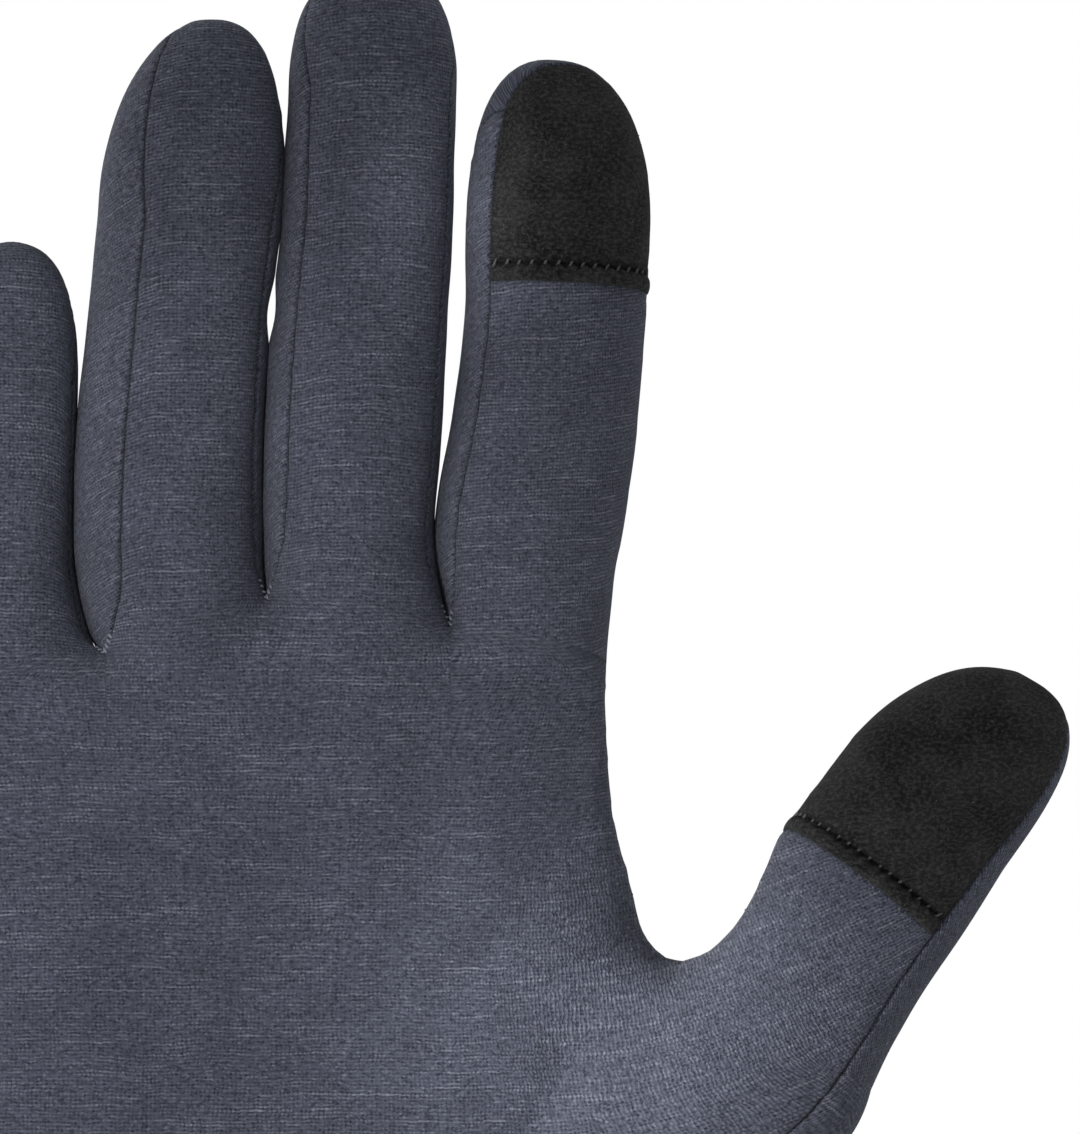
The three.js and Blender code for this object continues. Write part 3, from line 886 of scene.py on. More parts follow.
@dataclass(frozen=True)
class Web:
    """The web between thumb and palm, where the cloth is evened out over the joints of its sheets.

    The cloth moves in full up to one distance from the web and not at all beyond its reach, and its
    flat pattern is laid as it is seen from the front in the same way. Seams don't show near the web.
    """

    x: float = 51.7
    z: float = 117.5
    width: float = 3.4
    full: float = 8.0
    reach: float = 22.0
    turns: tuple[float, ...] = (1, -0.4)
    batches: int = 40
    no_seam: float = 3.0
    no_seam_reach: float = 12.0
    seen_full: float = 16.0
    seen_reach: float = 34.0
    seen_shift: float = 2.0
    pushes: tuple[Push, ...] = (
        Push(-1.3, -0.9, -4.0, 2.6, 5.0),
        Push(0.0, -0.5, -2.2, 0.4, 1.9),
        Push(0.0, -0.35, 3.2, 1.1, 2.2),
    )

    def far(self, points: Array, across: float = 0.0, up: float = 0.0) -> Array:
        """Distance of points from a place beside the web, as seen from the front."""
        return np.hypot(points[..., 0] - self.x - across, points[..., 2] - self.z - up)

    def neighbours_mean(self, part: Array, place: Array, area: Array) -> Array:
        """Mean place of the neighbours of some points.

        Args:
            part: the points.
            place: all points near the web.
            area: the share of cloth of each of those.

        Returns:
            The mean for each point, weighed by cloth and by nearness.
        """
        spread = np.sum((part[:, None] - place[None]) ** 2, axis=-1)
        weight = np.exp(-spread / (2 * self.width**2)) * area[None]
        return weight @ place / weight.sum(axis=1, keepdims=True)

    def moved(self, place: Array, area: Array, share: Array) -> Array:
        """Points after they have been evened out and pushed.

        Args:
            place: the points.
            area: the share of cloth of each.
            share: how fully each is evened out.

        Returns:
            Their new places.
        """
        for turn in self.turns:
            parts = np.array_split(place, self.batches)
            mean = np.concatenate([self.neighbours_mean(part, place, area) for part in parts])
            place = place + turn * share[:, None] * (mean - place)
        for push in self.pushes:
            pushed = np.exp(-((self.far(place, push.at_x, push.at_z) / push.reach) ** 2))
            place += np.outer(pushed, (push.across, 0.0, push.up))
        return place

    def even_out(self, sheets: list[Sheet]) -> None:
        """Evens out the cloth of the given sheets, whose points move."""
        points = np.concatenate([sheet.points.reshape(-1, 3) for sheet in sheets])
        area = np.concatenate([sheet.areas() for sheet in sheets])
        far = self.far(points)
        near = np.flatnonzero(far < self.reach + 3 * self.width)
        share = ease((self.reach - far[near]) / (self.reach - self.full))
        points[near] = self.moved(points[near], area[near], share)
        start = 0
        for sheet in sheets:
            rows = slice(start, start + sheet.seam.size)
            sheet.points = points[rows].reshape(sheet.points.shape)
            plain = ease((self.no_seam_reach - far[rows]) / self.full).reshape(sheet.seam.shape)
            sheet.seam = np.maximum(sheet.seam, self.no_seam * plain)
            start += sheet.seam.size

    def lay_as_seen(self, sheets: list[Sheet]) -> None:
        """Lays the flat pattern of the given sheets as it is seen from the front."""
        for sheet in sheets:
            share = ease((self.seen_reach - self.far(sheet.points)) / (self.seen_reach - self.seen_full))
            seen = sheet.points[..., [0, 2]] + (self.seen_shift, 0.0)
            sheet.flat = mix(sheet.flat, seen, share[..., None])


def levelled(points: Array, run: Run) -> Array:
    """Flat pattern of level rows: their length across, from where their middle lies, and their own level."""
    arc = travelled(points * np.array([1, 1, 0]), 1)
    middle = middle_column(arc)
    x = arc - arc[:, middle] + run.facing * points[:, middle, 0]
    return np.stack([x, points[..., 2]], axis=-1)


def closed(rows: dict[Run, Array]) -> dict[Run, Array]:
    """Brings the ends of neighbouring runs together, so that each run starts where the last one ends.

    Args:
        rows: the rows of every run.

    Returns:
        The rows with their ends drawn to one another.
    """
    reach = 7.0
    ends = {
        Run.RIGHT: (rows[Run.FRONT][:, -1], rows[Run.RIGHT][:, -1]),
        Run.BACK: (rows[Run.RIGHT][:, -1], rows[Run.BACK][:, -1]),
        Run.LEFT: (rows[Run.BACK][:, -1], rows[Run.FRONT][:, 0]),
    }
    joined = dict(rows)
    for run, (start, stop) in ends.items():
        line = rows[run]
        arc = travelled(line, 1)
        near = np.clip(1 - arc / reach, 0, 1)[..., None] ** 2
        far = np.clip(1 - (arc[:, -1:] - arc) / reach, 0, 1)[..., None] ** 2
        joined[run] = line + near * (start - line[:, 0])[:, None] + far * (stop - line[:, -1])[:, None]
    return joined


class HandCloth:
    """The cloth of the hand, the heel and the wrist, hung from the fingers' lowest rows.

    Its sizes are levels and distances in millimetres, leans in degrees, shares and numbers of rows.
    """

    WEB_LEVEL = 117.0
    WRIST_TOP = 58.0
    BAND_TOP = 36.0
    SADDLE_DROP = 0.8
    RIDGE_FADE = 5.0
    WEB_FADE = 3.5
    WEB_REACH = 0.6
    PULL_HEIGHT = 3.6
    PULL_WIDTH = 8.0
    LEAN_FACE = 34.0
    LEAN_EDGE = 14.0
    LEAN_STARTS = 0.6
    EVENED_WIDTH = 4.5
    EVENED_SLOPE = 0.9
    EVENED_LEAST = 0.01
    EVENED_INSET = 9.0
    FLAT_SIDE = 12.0
    FLAT_FADE = 14.0
    FORK_OPEN = 4.0
    FORK_SHARE = (0.4, 0.65)
    PRESSED = 0.12
    FORK_PRESSED = 0.8
    MOST_SWOLLEN = 1.4
    SWELLING_POWER = 0.7
    PALM_ROWS = 42
    PALM_CLOSE_ROWS = (0.002, 0.03, 5)
    HEEL_ROWS = 58
    HEEL_CLOSE_FROM = 0.92
    HEEL_CLOSE_ROWS = 10
    WRIST_ROWS = 18
    BAND_ROWS = 30

    def __init__(self) -> None:
        """Joins the fingers at their forks and works out every row below them."""
        self.fingers = {name: FingerCloth(finger) for name, finger in FINGERS.items()}
        for left, right in zip(LONG_FINGERS, LONG_FINGERS[1:]):
            self.fingers[left].join(self.fingers[right], self.SADDLE_DROP)
        self.knuckles = self.knuckle_turn()
        self.palm = self.evened(closed(self.palm_rows()))
        self.web = self.web_turn()
        self.heel = closed(self.heel_rows())

    def knuckle_turn(self) -> dict[Run, Array]:
        """The turn below the fingers, from their lowest rows."""
        bases = {name: {run: self.fingers[name].base(run) for run in Run} for name in LONG_FINGERS}
        front = [bases[name][Run.FRONT][(1 if n else 0):] for n, name in enumerate(LONG_FINGERS)]
        back = [bases[name][Run.BACK][(1 if n else 0):] for n, name in enumerate(LONG_FINGERS[::-1])]
        return {
            Run.FRONT: np.concatenate(front),
            Run.RIGHT: bases["index"][Run.RIGHT],
            Run.BACK: np.concatenate(back),
            Run.LEFT: bases["little"][Run.LEFT],
        }

    def palm_rows(self) -> dict[Run, Array]:
        """The palm between the web of the thumb and the fingers, which takes on the fingers' ridges."""
        top = self.knuckles
        parts = PALM.shares(top)
        close = 1 - np.geomspace(*self.PALM_CLOSE_ROWS)
        levels = np.unique(np.concatenate([np.linspace(0, 1, self.PALM_ROWS), close]))
        rows = {}
        for run, line in top.items():
            part = parts[run][None, :]
            level = mix(self.WEB_LEVEL, line[None, :, 2], levels[:, None])
            plain = PALM.point(level, run, part + 0 * level)
            ridge = np.exp((plain[..., 2] - line[None, :, 2]) / self.RIDGE_FADE)
            offset = line - PALM.point(line[:, 2], run, parts[run])
            plain[..., 1] += swell(run, plain) * (1 - ridge)
            rows[run] = plain + offset[None] * ridge[..., None]
        return rows

    def evened(self, rows: dict[Run, Array]) -> dict[Run, Array]:
        """Evens out the creases that the forks would leave in the palm and the back below them.

        Args:
            rows: the rows between the web and the fingers.

        Returns:
            The rows with their depths smoothed across, more so farther below the fingers.
        """
        for run in (Run.FRONT, Run.BACK):
            top = rows[run][-1, :, 2]
            for line in rows[run][:-1]:
                width = np.clip((top - line[:, 2]) * self.EVENED_SLOPE, self.EVENED_LEAST, self.EVENED_WIDTH)
                spread = (line[:, None, 0] - line[None, :, 0]) / width[:, None]
                weight = np.exp(-(spread**2)) * np.abs(np.gradient(line[:, 0]))[None]
                smooth = weight @ line[:, 1] / weight.sum(axis=1)
                arc = travelled(line, 0)
                inside = ease(np.minimum(arc, arc[-1] - arc) / self.EVENED_INSET)
                line[:, 1] = mix(line[:, 1], smooth, inside)
        return rows

    def web_turn(self) -> dict[Run, Array]:
        """The turn where the thumb branches off: the lowest rows of palm and thumb, joined at the web."""
        thumb = self.fingers["thumb"]
        edge = self.palm[Run.RIGHT][0]
        length = travelled(edge, 0)
        part = length / length[-1]
        mine = read_along(EDGE_PLACES, part, edge)
        theirs = thumb.finger.tube(Run.LEFT, 0 * EDGE_PLACES, EDGE_PLACES)[::-1]
        saddle = saddle_between(mine, theirs, self.SADDLE_DROP)
        thumb.keep_pull(Run.LEFT, (saddle - theirs)[::-1])
        self.pull_palm(read_along(part, EDGE_PLACES, saddle - mine))
        base = {run: thumb.base(run) for run in Run}
        return {
            Run.FRONT: np.concatenate([self.palm[Run.FRONT][0], base[Run.FRONT][1:]]),
            Run.RIGHT: base[Run.RIGHT],
            Run.BACK: np.concatenate([base[Run.BACK], self.palm[Run.BACK][0][1:]]),
            Run.LEFT: self.palm[Run.LEFT][0],
        }

    def pull_palm(self, pull: Array) -> None:
        """Pulls the foot of the palm's thumb side to the web.

        Args:
            pull: how far each point of its lowest row moves.
        """
        for run, ends in ((Run.RIGHT, pull), (Run.FRONT, pull[:1]), (Run.BACK, pull[-1:])):
            rows = self.palm[run]
            height = rows[..., 2] - rows[:1, :, 2]
            fade = np.clip(1 - height / self.PULL_HEIGHT, 0, 1)[..., None] ** FingerCloth.SADDLE_FADE
            if run is not Run.RIGHT:
                arc = travelled(rows[0], 0)
                far = arc[-1] - arc if run is Run.FRONT else arc
                fade = fade * (np.clip(1 - far / self.PULL_WIDTH, 0, 1) ** 2)[None, :, None]
            self.palm[run] = rows + ends[None] * fade

    def taut(self, line: Array, dip: int, start: int, stop: int) -> Array:
        """Depth of a turn's points if its cloth were pulled straight over the dip at one of them.

        Args:
            line: the turn's points.
            dip: number of the lowest point; not used.
            start: number of the point where the straight part starts.
            stop: number of the point where it ends.

        Returns:
            The depth of each point.
        """
        share = (line[:, 0] - line[start, 0]) / (line[stop, 0] - line[start, 0])
        numbers = np.arange(len(line))
        inside = (numbers > start) & (numbers < stop)
        return np.where(inside, mix(line[start, 1], line[stop, 1], share), line[:, 1])

    def lean(self, run: Run, part: Array) -> Array:
        """The way up of the columns that end at the web's turn."""
        beyond = share_to_right(run, part) - self.LEAN_STARTS
        lean = self.LEAN_FACE * ease(beyond / (1 - self.LEAN_STARTS))
        if run is Run.RIGHT:
            lean = mix(lean, self.LEAN_EDGE, np.sin(np.pi * part))
        return vectors(np.sin(np.radians(lean)), 0 * part, np.cos(np.radians(lean)))

    def heel_rows(self) -> dict[Run, Array]:
        """The heel of the hand and the wrist, from the cuff band's top to the web's turn.

        Each column starts upright at the wrist and ends leaning towards the thumb at the turn. The turn's
        dips between thumb and palm fade out a little below it.
        """
        parts = WRIST.shares(self.web)
        face = SPACING.face
        reach = round(self.WEB_REACH * face)
        front_dip = len(self.palm[Run.FRONT][0]) - 1
        depth = {
            Run.FRONT: self.taut(self.web[Run.FRONT], front_dip, front_dip - reach, front_dip + reach),
            Run.BACK: self.taut(self.web[Run.BACK], face, face - reach, face + reach),
        }
        close = np.linspace(self.HEEL_CLOSE_FROM, 1, self.HEEL_CLOSE_ROWS)[1:]
        shares = np.concatenate([np.linspace(0, self.HEEL_CLOSE_FROM, self.HEEL_ROWS), close])
        t = shares[:, None]
        wrist = np.linspace(self.BAND_TOP, self.WRIST_TOP, self.WRIST_ROWS)[:-1, None]
        rows = {}
        for run, line in self.web.items():
            start = WRIST.point(self.WRIST_TOP + 0 * parts[run], run, parts[run])
            length = np.linalg.norm(line - start, axis=-1)[None, :]
            stop = np.repeat(line[None], len(shares), axis=0)
            if run in depth:
                kept = np.exp(-length * (1 - t) / self.WEB_FADE)
                stop[..., 1] = mix(depth[run][None], line[None, :, 1], kept)
            path = mix(start[None], stop, ease(t)[..., None])
            path[..., 2] += length * t * (1 - t) ** 2
            width = np.clip((line[:, 0] - line[0, 0]) / (line[-1, 0] - line[0, 0]), 0, 1)
            part = width if run in depth else parts[run]
            path -= self.lean(run, part)[None] * (length * t * t * (1 - t))[..., None]
            path[..., 1] += swell(run, path) * np.sin(np.pi / 2 * t) ** 2 - swell(run, line)[None] * ease(t)
            below = WRIST.point(wrist + 0 * parts[run], run, parts[run] + 0 * wrist)
            rows[run] = np.concatenate([below, path])
        return rows

    def corners(self, run: Run) -> Array:
        """The points at which the fingers' seams meet in a fork, on the front or the back."""
        if run not in (Run.FRONT, Run.BACK):
            return np.empty((0, 3))
        return self.knuckles[run][SPACING.face:-1:SPACING.face]

    def hand_sheet(self, run: Run, rows: Array, flat_top: Array | None) -> Sheet:
        """A sheet of the hand or the heel.

        Args:
            run: its run.
            rows: its points.
            flat_top: flat pattern that its highest row must meet.

        Returns:
            The sheet.
        """
        arc = travelled(rows, 1)
        length = travelled(rows, 0)
        sewn = run in (Run.FRONT, Run.RIGHT), run in (Run.FRONT, Run.LEFT)
        seam, stitch = to_seams(arc, length, sewn)
        for corner in self.corners(run):
            seam = np.minimum(seam, np.linalg.norm(rows - corner, axis=-1))
        flat = levelled(rows, run)
        flat[..., 0] += {Run.RIGHT: -self.FLAT_SIDE, Run.LEFT: self.FLAT_SIDE}.get(run, 0.0)
        if flat_top is not None:
            away = (length[-1:] - length)[..., None]
            flat = flat + (flat_top - flat[-1])[None] * np.exp(-away / self.FLAT_FADE)
        return Sheet(rows, flat, seam, stitch)

    def front(self) -> list[Sheet]:
        """Every sheet of the palm panel."""
        sheets = []
        tops = {}
        for name, finger in self.fingers.items():
            tips = bool(finger.finger.roll_at)
            tops[name] = finger.wool_below_tip() if tips else finger.sheet(Run.FRONT)
            sheets.append(tops[name])
        knuckle = self.joined([tops[name].flat[0] for name in LONG_FINGERS])
        palm = self.hand_sheet(Run.FRONT, self.palm[Run.FRONT], knuckle)
        web = self.joined([palm.flat[0], tops["thumb"].flat[0]])
        return [*sheets, palm, self.hand_sheet(Run.FRONT, self.heel[Run.FRONT], web)]

    def back(self) -> list[Sheet]:
        """Every sheet of the back panel, which wraps the outer sides of the hand."""
        tops = {name: finger.sheet(Run.BACK) for name, finger in self.fingers.items()}
        sides = [("index", Run.RIGHT), ("thumb", Run.RIGHT), ("thumb", Run.LEFT), ("little", Run.LEFT)]
        sheets = [*tops.values(), *(self.fingers[name].sheet(run) for name, run in sides)]
        knuckle = self.joined([tops[name].flat[0] for name in LONG_FINGERS[::-1]])
        palm = self.hand_sheet(Run.BACK, self.palm[Run.BACK], knuckle)
        web = self.joined([tops["thumb"].flat[0], palm.flat[0]])
        sheets += [palm, self.hand_sheet(Run.BACK, self.heel[Run.BACK], web)]
        for run in (Run.RIGHT, Run.LEFT):
            sheets += [self.hand_sheet(run, rows[run], None) for rows in (self.palm, self.heel)]
        return sheets

    def strip(self, left: str, right: str) -> list[Sheet]:
        """The two legs of the strip between two fingers, which swell where the fingers touch.

        Args:
            left: name of the finger to the left.
            right: name of the finger to the right.

        Returns:
            The sheet on each finger.
        """
        legs = [self.fingers[left].sheet(Run.RIGHT), self.fingers[right].sheet(Run.LEFT)]
        rows = min(len(self.fingers[name].shares) for name in (left, right))
        edges = []
        for leg, pick in zip(legs, (np.argmax, np.argmin)):
            column = pick(leg.points[:rows, :, 0], axis=1)[:, None, None]
            edges.append(np.take_along_axis(leg.points[:rows], column, axis=1)[:, 0])
        opens, open_fully = self.FORK_SHARE
        for leg, turned in zip(legs, (False, True)):
            z = leg.points[..., 2]
            sides = [np.interp(z, edge[:, 2], edge[:, 0]) for edge in edges]
            arc = travelled(leg.points, 1)
            # The index leg's last row has no length, so its share and its lift there are no numbers.
            back = arc / arc[:, -1:]
            back = 1 - back if turned else back
            fork = 1 - ease((z - leg.points[0, :, 2].min()) / self.FORK_OPEN)
            behind = mix(1.0, ease((back - opens) / (open_fully - opens)), fork)
            profile = np.sin(np.pi * back) ** self.SWELLING_POWER * behind
            pressed = (sides[1] - sides[0] + self.PRESSED) / 2
            swelling = np.clip(pressed, 0, self.MOST_SWOLLEN) + self.FORK_PRESSED * fork
            leg.lift = swelling * profile * touching(left, z)
        return legs

    def band(self) -> list[Sheet]:
        """The four runs of the cuff band."""
        parts = WRIST.shares(self.web)
        near = np.array(SPACING.near_seam)
        between = np.linspace(near[-1], self.BAND_TOP - near[-1], self.BAND_ROWS)[1:-1]
        levels = np.concatenate([near, between, self.BAND_TOP - near[::-1]])[:, None]
        sheets = []
        for run in Run:
            rows = WRIST.point(levels + 0 * parts[run], run, parts[run] + 0 * levels)
            sheet = self.hand_sheet(run, rows, None)
            sheet.stitch = sheet.flat[..., 0]
            sheet.seam = self.BAND_TOP - rows[..., 2]
            sheets.append(sheet)
        return sheets

    @staticmethod
    def joined(rows: list[Array]) -> Array:
        """Rows of neighbouring sheets as one, without the points that they share."""
        return np.concatenate([row[(1 if n else 0):] for n, row in enumerate(rows)])


@dataclass(frozen=True)
class Ripple:
    """Even waves through the cloth: their way in radians a millimetre, and their shift in radians."""

    way: tuple[float, float, float]
    shift: float = 0.0

    def at(self, points: Array) -> Array:
        """Their height at each point, between -1 and 1."""
        x, y, z = self.way
        return np.sin(x * points[..., 0] + y * points[..., 1] + z * points[..., 2] + self.shift)


@dataclass(frozen=True)
class Softness:
    """How the cloth gives: the furrow along a seam, its puckers and a faint unevenness, in millimetres.

    The gathers have their weight, radians a millimetre and shift. The unevenness is made of pairs of
    ripples that cross, each pair with its weight.
    """

    GATHERS = ((1.0, 1.31, 0.0), (0.7, 2.07, 1.3))
    RIPPLES = (
        (1.0, Ripple((0.29, 0, 0.17), 1), Ripple((-0.21, 0, 0.13))),
        (0.6, Ripple((0.47, 0.3, -0.31)), Ripple((0.11, 0, 0.38), 2)),
    )

    furrow: float = 0.34
    furrow_reach: float = 0.6
    draw: float = 0.08
    draw_reach: float = 1.6
    pucker: float = 0.07
    uneven: float = 0.09

    def push(self, points: Array, seam: Array, stitch: Array) -> Array:
        """How far each point of the cloth stands out of its smooth shape.

        Args:
            points: the points.
            seam: distance to the nearest seam.
            stitch: length along that seam.

        Returns:
            The push outwards, mostly below zero.
        """
        close = np.clip(1 - seam / self.furrow_reach, 0, 1) ** 2
        near = np.exp(-((seam / self.draw_reach) ** 2))
        gathers = sum(weight * np.sin(stitch * rate + shift) for weight, rate, shift in self.GATHERS)
        wave = sum(weight * first.at(points) * second.at(points) for weight, first, second in self.RIPPLES)
        plain = self.uneven * wave * (1 - near)
        return plain - self.furrow * close - self.draw * near + self.pucker * near * gathers


@dataclass(frozen=True)
class Grain:
    """How the knit lies on a panel: it turns towards the thumb, and may be cut on the bias."""

    TURNS_WITHIN = (-30, 45)

    facing: int = 1
    bias: float = 0.0
    slope: float = 0.52
    starts: float = 52.0
    width: float = 6.5
    level: float = 108.0

    def lay(self, flat: Array) -> Array:
        """Knit coordinates of the flat pattern: courses run along the first, wales along the second."""
        x, z = flat[..., 0] * self.facing, flat[..., 1]
        step = (x - self.starts) / self.width
        turn = self.slope / (1 + np.exp(-step))
        rise = self.slope * self.width * np.logaddexp(0, step)
        u, v = (x + np.clip(z - self.level, *self.TURNS_WITHIN) * turn) * self.facing, z - rise
        sine, cosine = sine_cosine(self.bias)
        return np.stack([u * cosine + v * sine, v * cosine - u * sine], axis=-1)


class Panel:
    """A sewn panel of cloth as one closed solid, made of its sheets.

    Points of neighbouring sheets are one where they agree to a thousandth of a millimetre.
    """

    JOINED = 1000
    SHARP = 55

    def __init__(self, name: str, sheets: list[Sheet], wall: float, grain: Grain, softness: Softness) -> None:
        """Joins the sheets, softens them and gives them a wall.

        Args:
            name: name of the piece.
            sheets: the grids of cloth.
            wall: thickness of the cloth.
            grain: how the knit lies on it.
            softness: how it gives at the seams.
        """
        def gathered(values: list[Array]) -> Array:
            """One value for each point of the sheets, for the joined points."""
            return np.concatenate([value.ravel() for value in values])[self.first]

        self.name = name
        self.sheets = sheets
        count = 0
        for sheet in sheets:
            sheet.first = count
            count += sheet.seam.size
        points = np.concatenate([s.points.reshape(-1, 3) for s in sheets])
        rounded = np.round(points * self.JOINED).astype(int)
        _, self.first, place = np.unique(rounded, axis=0, return_index=True, return_inverse=True)
        self.place = place.reshape(-1)
        seam = np.full(len(self.first), NO_SEAM)
        np.minimum.at(seam, self.place, np.concatenate([s.seam.ravel() for s in sheets]))
        stitch = gathered([s.stitch for s in sheets])
        lift = gathered([0 * s.seam if s.lift is None else s.lift for s in sheets])
        self.knit = np.concatenate([grain.lay(s.flat).reshape(-1, 2) for s in sheets])
        self.seam = np.stack([seam, stitch], axis=-1)
        self.corners, self.sizes = self.without_folds(np.concatenate([self.quads(s) for s in sheets]))
        smooth = points[self.first]
        self.normals = self.outward(smooth)
        push = softness.push(smooth, seam, stitch) + lift
        self.outer = smooth + self.normals * push[:, None]
        self.inner = self.outer - self.normals * wall

    @staticmethod
    def quads(sheet: Sheet) -> Array:
        """Corner numbers of a sheet's quads, by the numbers of its own points."""
        rows, columns = sheet.seam.shape
        number = sheet.first + np.arange(rows * columns).reshape(rows, columns)
        corners = number[:-1, :-1], number[:-1, 1:], number[1:, 1:], number[1:, :-1]
        return np.stack(corners, axis=-1).reshape(-1, 4)

    def without_folds(self, corners: Array) -> tuple[Array, Array]:
        """Drops the corners that coincide with the next one.

        Args:
            corners: quads, by the numbers of the sheets' points.

        Returns:
            The corners that stay, one face after the other, and the number of corners of each face.
        """
        joined = self.place[corners]
        kept = joined != np.roll(joined, -1, axis=1)
        whole = kept.sum(axis=1) > 2
        corners, kept = corners[whole], kept[whole]
        return corners[kept], kept.sum(axis=1)

    def outward(self, points: Array) -> Array:
        """Direction out of the cloth at every joined point."""
        joined = self.place[self.corners]
        starts = np.concatenate([[0], np.cumsum(self.sizes)[:-1]])
        a, b, c = points[joined[starts]], points[joined[starts + 1]], points[joined[starts + 2]]
        d = points[joined[starts + self.sizes - 1]]
        face = np.cross(c - a, d - b)
        face = np.where((self.sizes == 3)[:, None], np.cross(b - a, c - a), face)
        total = np.zeros_like(points)
        np.add.at(total, joined, np.repeat(face, self.sizes, axis=0))
        return unit(total)

    def edge_corners(self) -> Array:
        """Directed edges of the outer face that no other face shares, by joined points."""
        joined = self.place[self.corners]
        ends = np.cumsum(self.sizes)
        following = np.arange(len(joined)) + 1
        following[ends - 1] = np.concatenate([[0], ends[:-1]])
        start, stop = joined, joined[following]
        total = len(self.outer)
        forward, reverse = start * total + stop, stop * total + start
        alone = ~np.isin(forward, reverse)
        return np.stack([start[alone], stop[alone]], axis=-1)

    def mesh(self) -> bpy.types.Mesh:
        """The panel as a mesh in metres, with its knit and seam coordinates."""
        total = len(self.outer)
        joined = self.place[self.corners]
        faces = np.split(joined, np.cumsum(self.sizes)[:-1])
        knit = np.split(self.knit[self.corners], np.cumsum(self.sizes)[:-1])
        edges = self.edge_corners()
        walls = np.stack([edges[:, 1], edges[:, 0], edges[:, 0] + total, edges[:, 1] + total], axis=-1)
        lining = [face[::-1] + total for face in faces]
        mesh = bpy.data.meshes.new(self.name)
        points = np.concatenate([self.outer, self.inner]) * MILLIMETRE
        mesh.from_pydata(points.tolist(), [], [f.tolist() for f in (*faces, *lining, *walls)])
        flat = self.knit[self.first]
        corner_knit = np.concatenate([*knit, *(k[::-1] for k in knit), flat[walls % total].reshape(-1, 2)])
        numbers = np.empty(len(mesh.loops), int)
        mesh.loops.foreach_get("vertex_index", numbers)
        for name, values in (("knit", corner_knit), ("seam", self.seam[numbers % total])):
            layer = mesh.uv_layers.new(name=name)
            layer.uv.foreach_set("vector", values.astype(np.float32).ravel())
        mesh.shade_smooth()
        mesh.set_sharp_from_angle(angle=math.radians(self.SHARP))
        return mesh

    def line(self, numbers: Array) -> tuple[Array, Array]:
        """Smooth points and outward directions along a line of the sheets' points."""
        joined = self.place[numbers]
        return self.outer[joined], self.normals[joined]


def add_object(name: str, data: bpy.types.ID) -> bpy.types.Object:
    """Adds an object to the scene."""
    thing = bpy.data.objects.new(name, data)
    bpy.context.scene.collection.objects.link(thing)
    return thing


def add_piece(mesh: bpy.types.Mesh, material: bpy.types.Material) -> bpy.types.Object:
    """Adds a mesh to the scene as a piece that rides with the glove.

    Args:
        mesh: its mesh, which also names it.
        material: its material.

    Returns:
        The new object.
    """
    mesh.materials.append(material)
    piece = add_object(mesh.name, mesh)
    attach(piece, "root")
    return piece


@dataclass(frozen=True)
class Sewing:
    """How a thread is sewn, in millimetres.

    Its stitches follow one another at the pitch and bridge the reach to both sides. Their ends lie
    below the line by the sink, and apart along it by the slant.
    """

    thickness: float
    pitch: float
    reach: float
    sink: float
    slant: float


HEM_SEWING = Sewing(thickness=0.42, pitch=1.75, reach=0.75, sink=-0.3, slant=0.3)
SEAM_SEWING = Sewing(thickness=0.17, pitch=1.3, reach=0.2, sink=-0.04, slant=0.12)
RIM_SEWING = Sewing(thickness=0.42, pitch=0.8, reach=0.55, sink=-0.12, slant=0.1)


class Thread:
    """Short stitches of thread, each a bent tube that tapers at its ends."""

    SIDES = 6
    RINGS = 6
    TAPER = 0.45
    HEIGHT = 1.4

    def __init__(self, sewing: Sewing) -> None:
        """Starts an empty set of stitches, which are sewn in one way."""
        self.sewing = sewing
        self.radius = sewing.thickness / 2
        self.points: list[Array] = []
        self.faces: list[Array] = []
        self.count = 0

    def stitch(self, start: Array, middle: Array, stop: Array, out: Array) -> None:
        """Adds a stitch that bends over its middle.

        Args:
            start: where the thread comes out of the cloth.
            middle: its highest point.
            stop: where it goes back in.
            out: direction out of the cloth.
        """
        t = np.linspace(0, 1, self.RINGS)[:, None]
        line = (1 - t) ** 2 * start + 2 * t * (1 - t) * (2 * middle - (start + stop) / 2) + t**2 * stop
        ahead = unit(np.gradient(line, axis=0))
        side = unit(np.cross(ahead, out))
        up = np.cross(side, ahead)
        angle = np.linspace(0, 2 * np.pi, self.SIDES, endpoint=False)[None, :, None]
        radius = self.radius * (1 - self.TAPER + self.TAPER * np.sin(np.pi * t))[:, :, None]
        ring = line[:, None] + radius * (np.cos(angle) * side[:, None] + np.sin(angle) * up[:, None])
        number = self.count + np.arange(self.RINGS * self.SIDES).reshape(self.RINGS, self.SIDES)
        following = np.roll(number, -1, axis=1)
        quads = np.stack([number[:-1], number[1:], following[1:], following[:-1]], axis=-1).reshape(-1, 4)
        self.points.append(ring.reshape(-1, 3))
        self.faces.extend([*quads.tolist(), number[0].tolist(), number[-1, ::-1].tolist()])
        self.count += number.size

    def follow(self, line: Array, out: Array) -> None:
        """Sews stitches across a line.

        Args:
            line: points of the line.
            out: direction out of the cloth at each point.
        """
        length = travelled(line, 0)
        places = np.arange(self.sewing.pitch / 2, length[-1], self.sewing.pitch)
        at, up = read_along(places, length, line), unit(read_along(places, length, out))
        ahead = unit(np.gradient(at, axis=0))
        low = at - up * self.sewing.sink
        aside = np.cross(up, ahead) * self.sewing.reach + ahead * self.sewing.slant
        high = at + up * (self.radius * self.HEIGHT)
        for start, middle, stop, normal in zip(low - aside, high, low + aside, up):
            self.stitch(start, middle, stop, normal)

    def mesh(self, name: str) -> bpy.types.Mesh:
        """All stitches as one mesh in metres."""
        mesh = bpy.data.meshes.new(name)
        mesh.from_pydata((np.concatenate(self.points) * MILLIMETRE).tolist(), [], self.faces)
        mesh.shade_smooth()
        return mesh


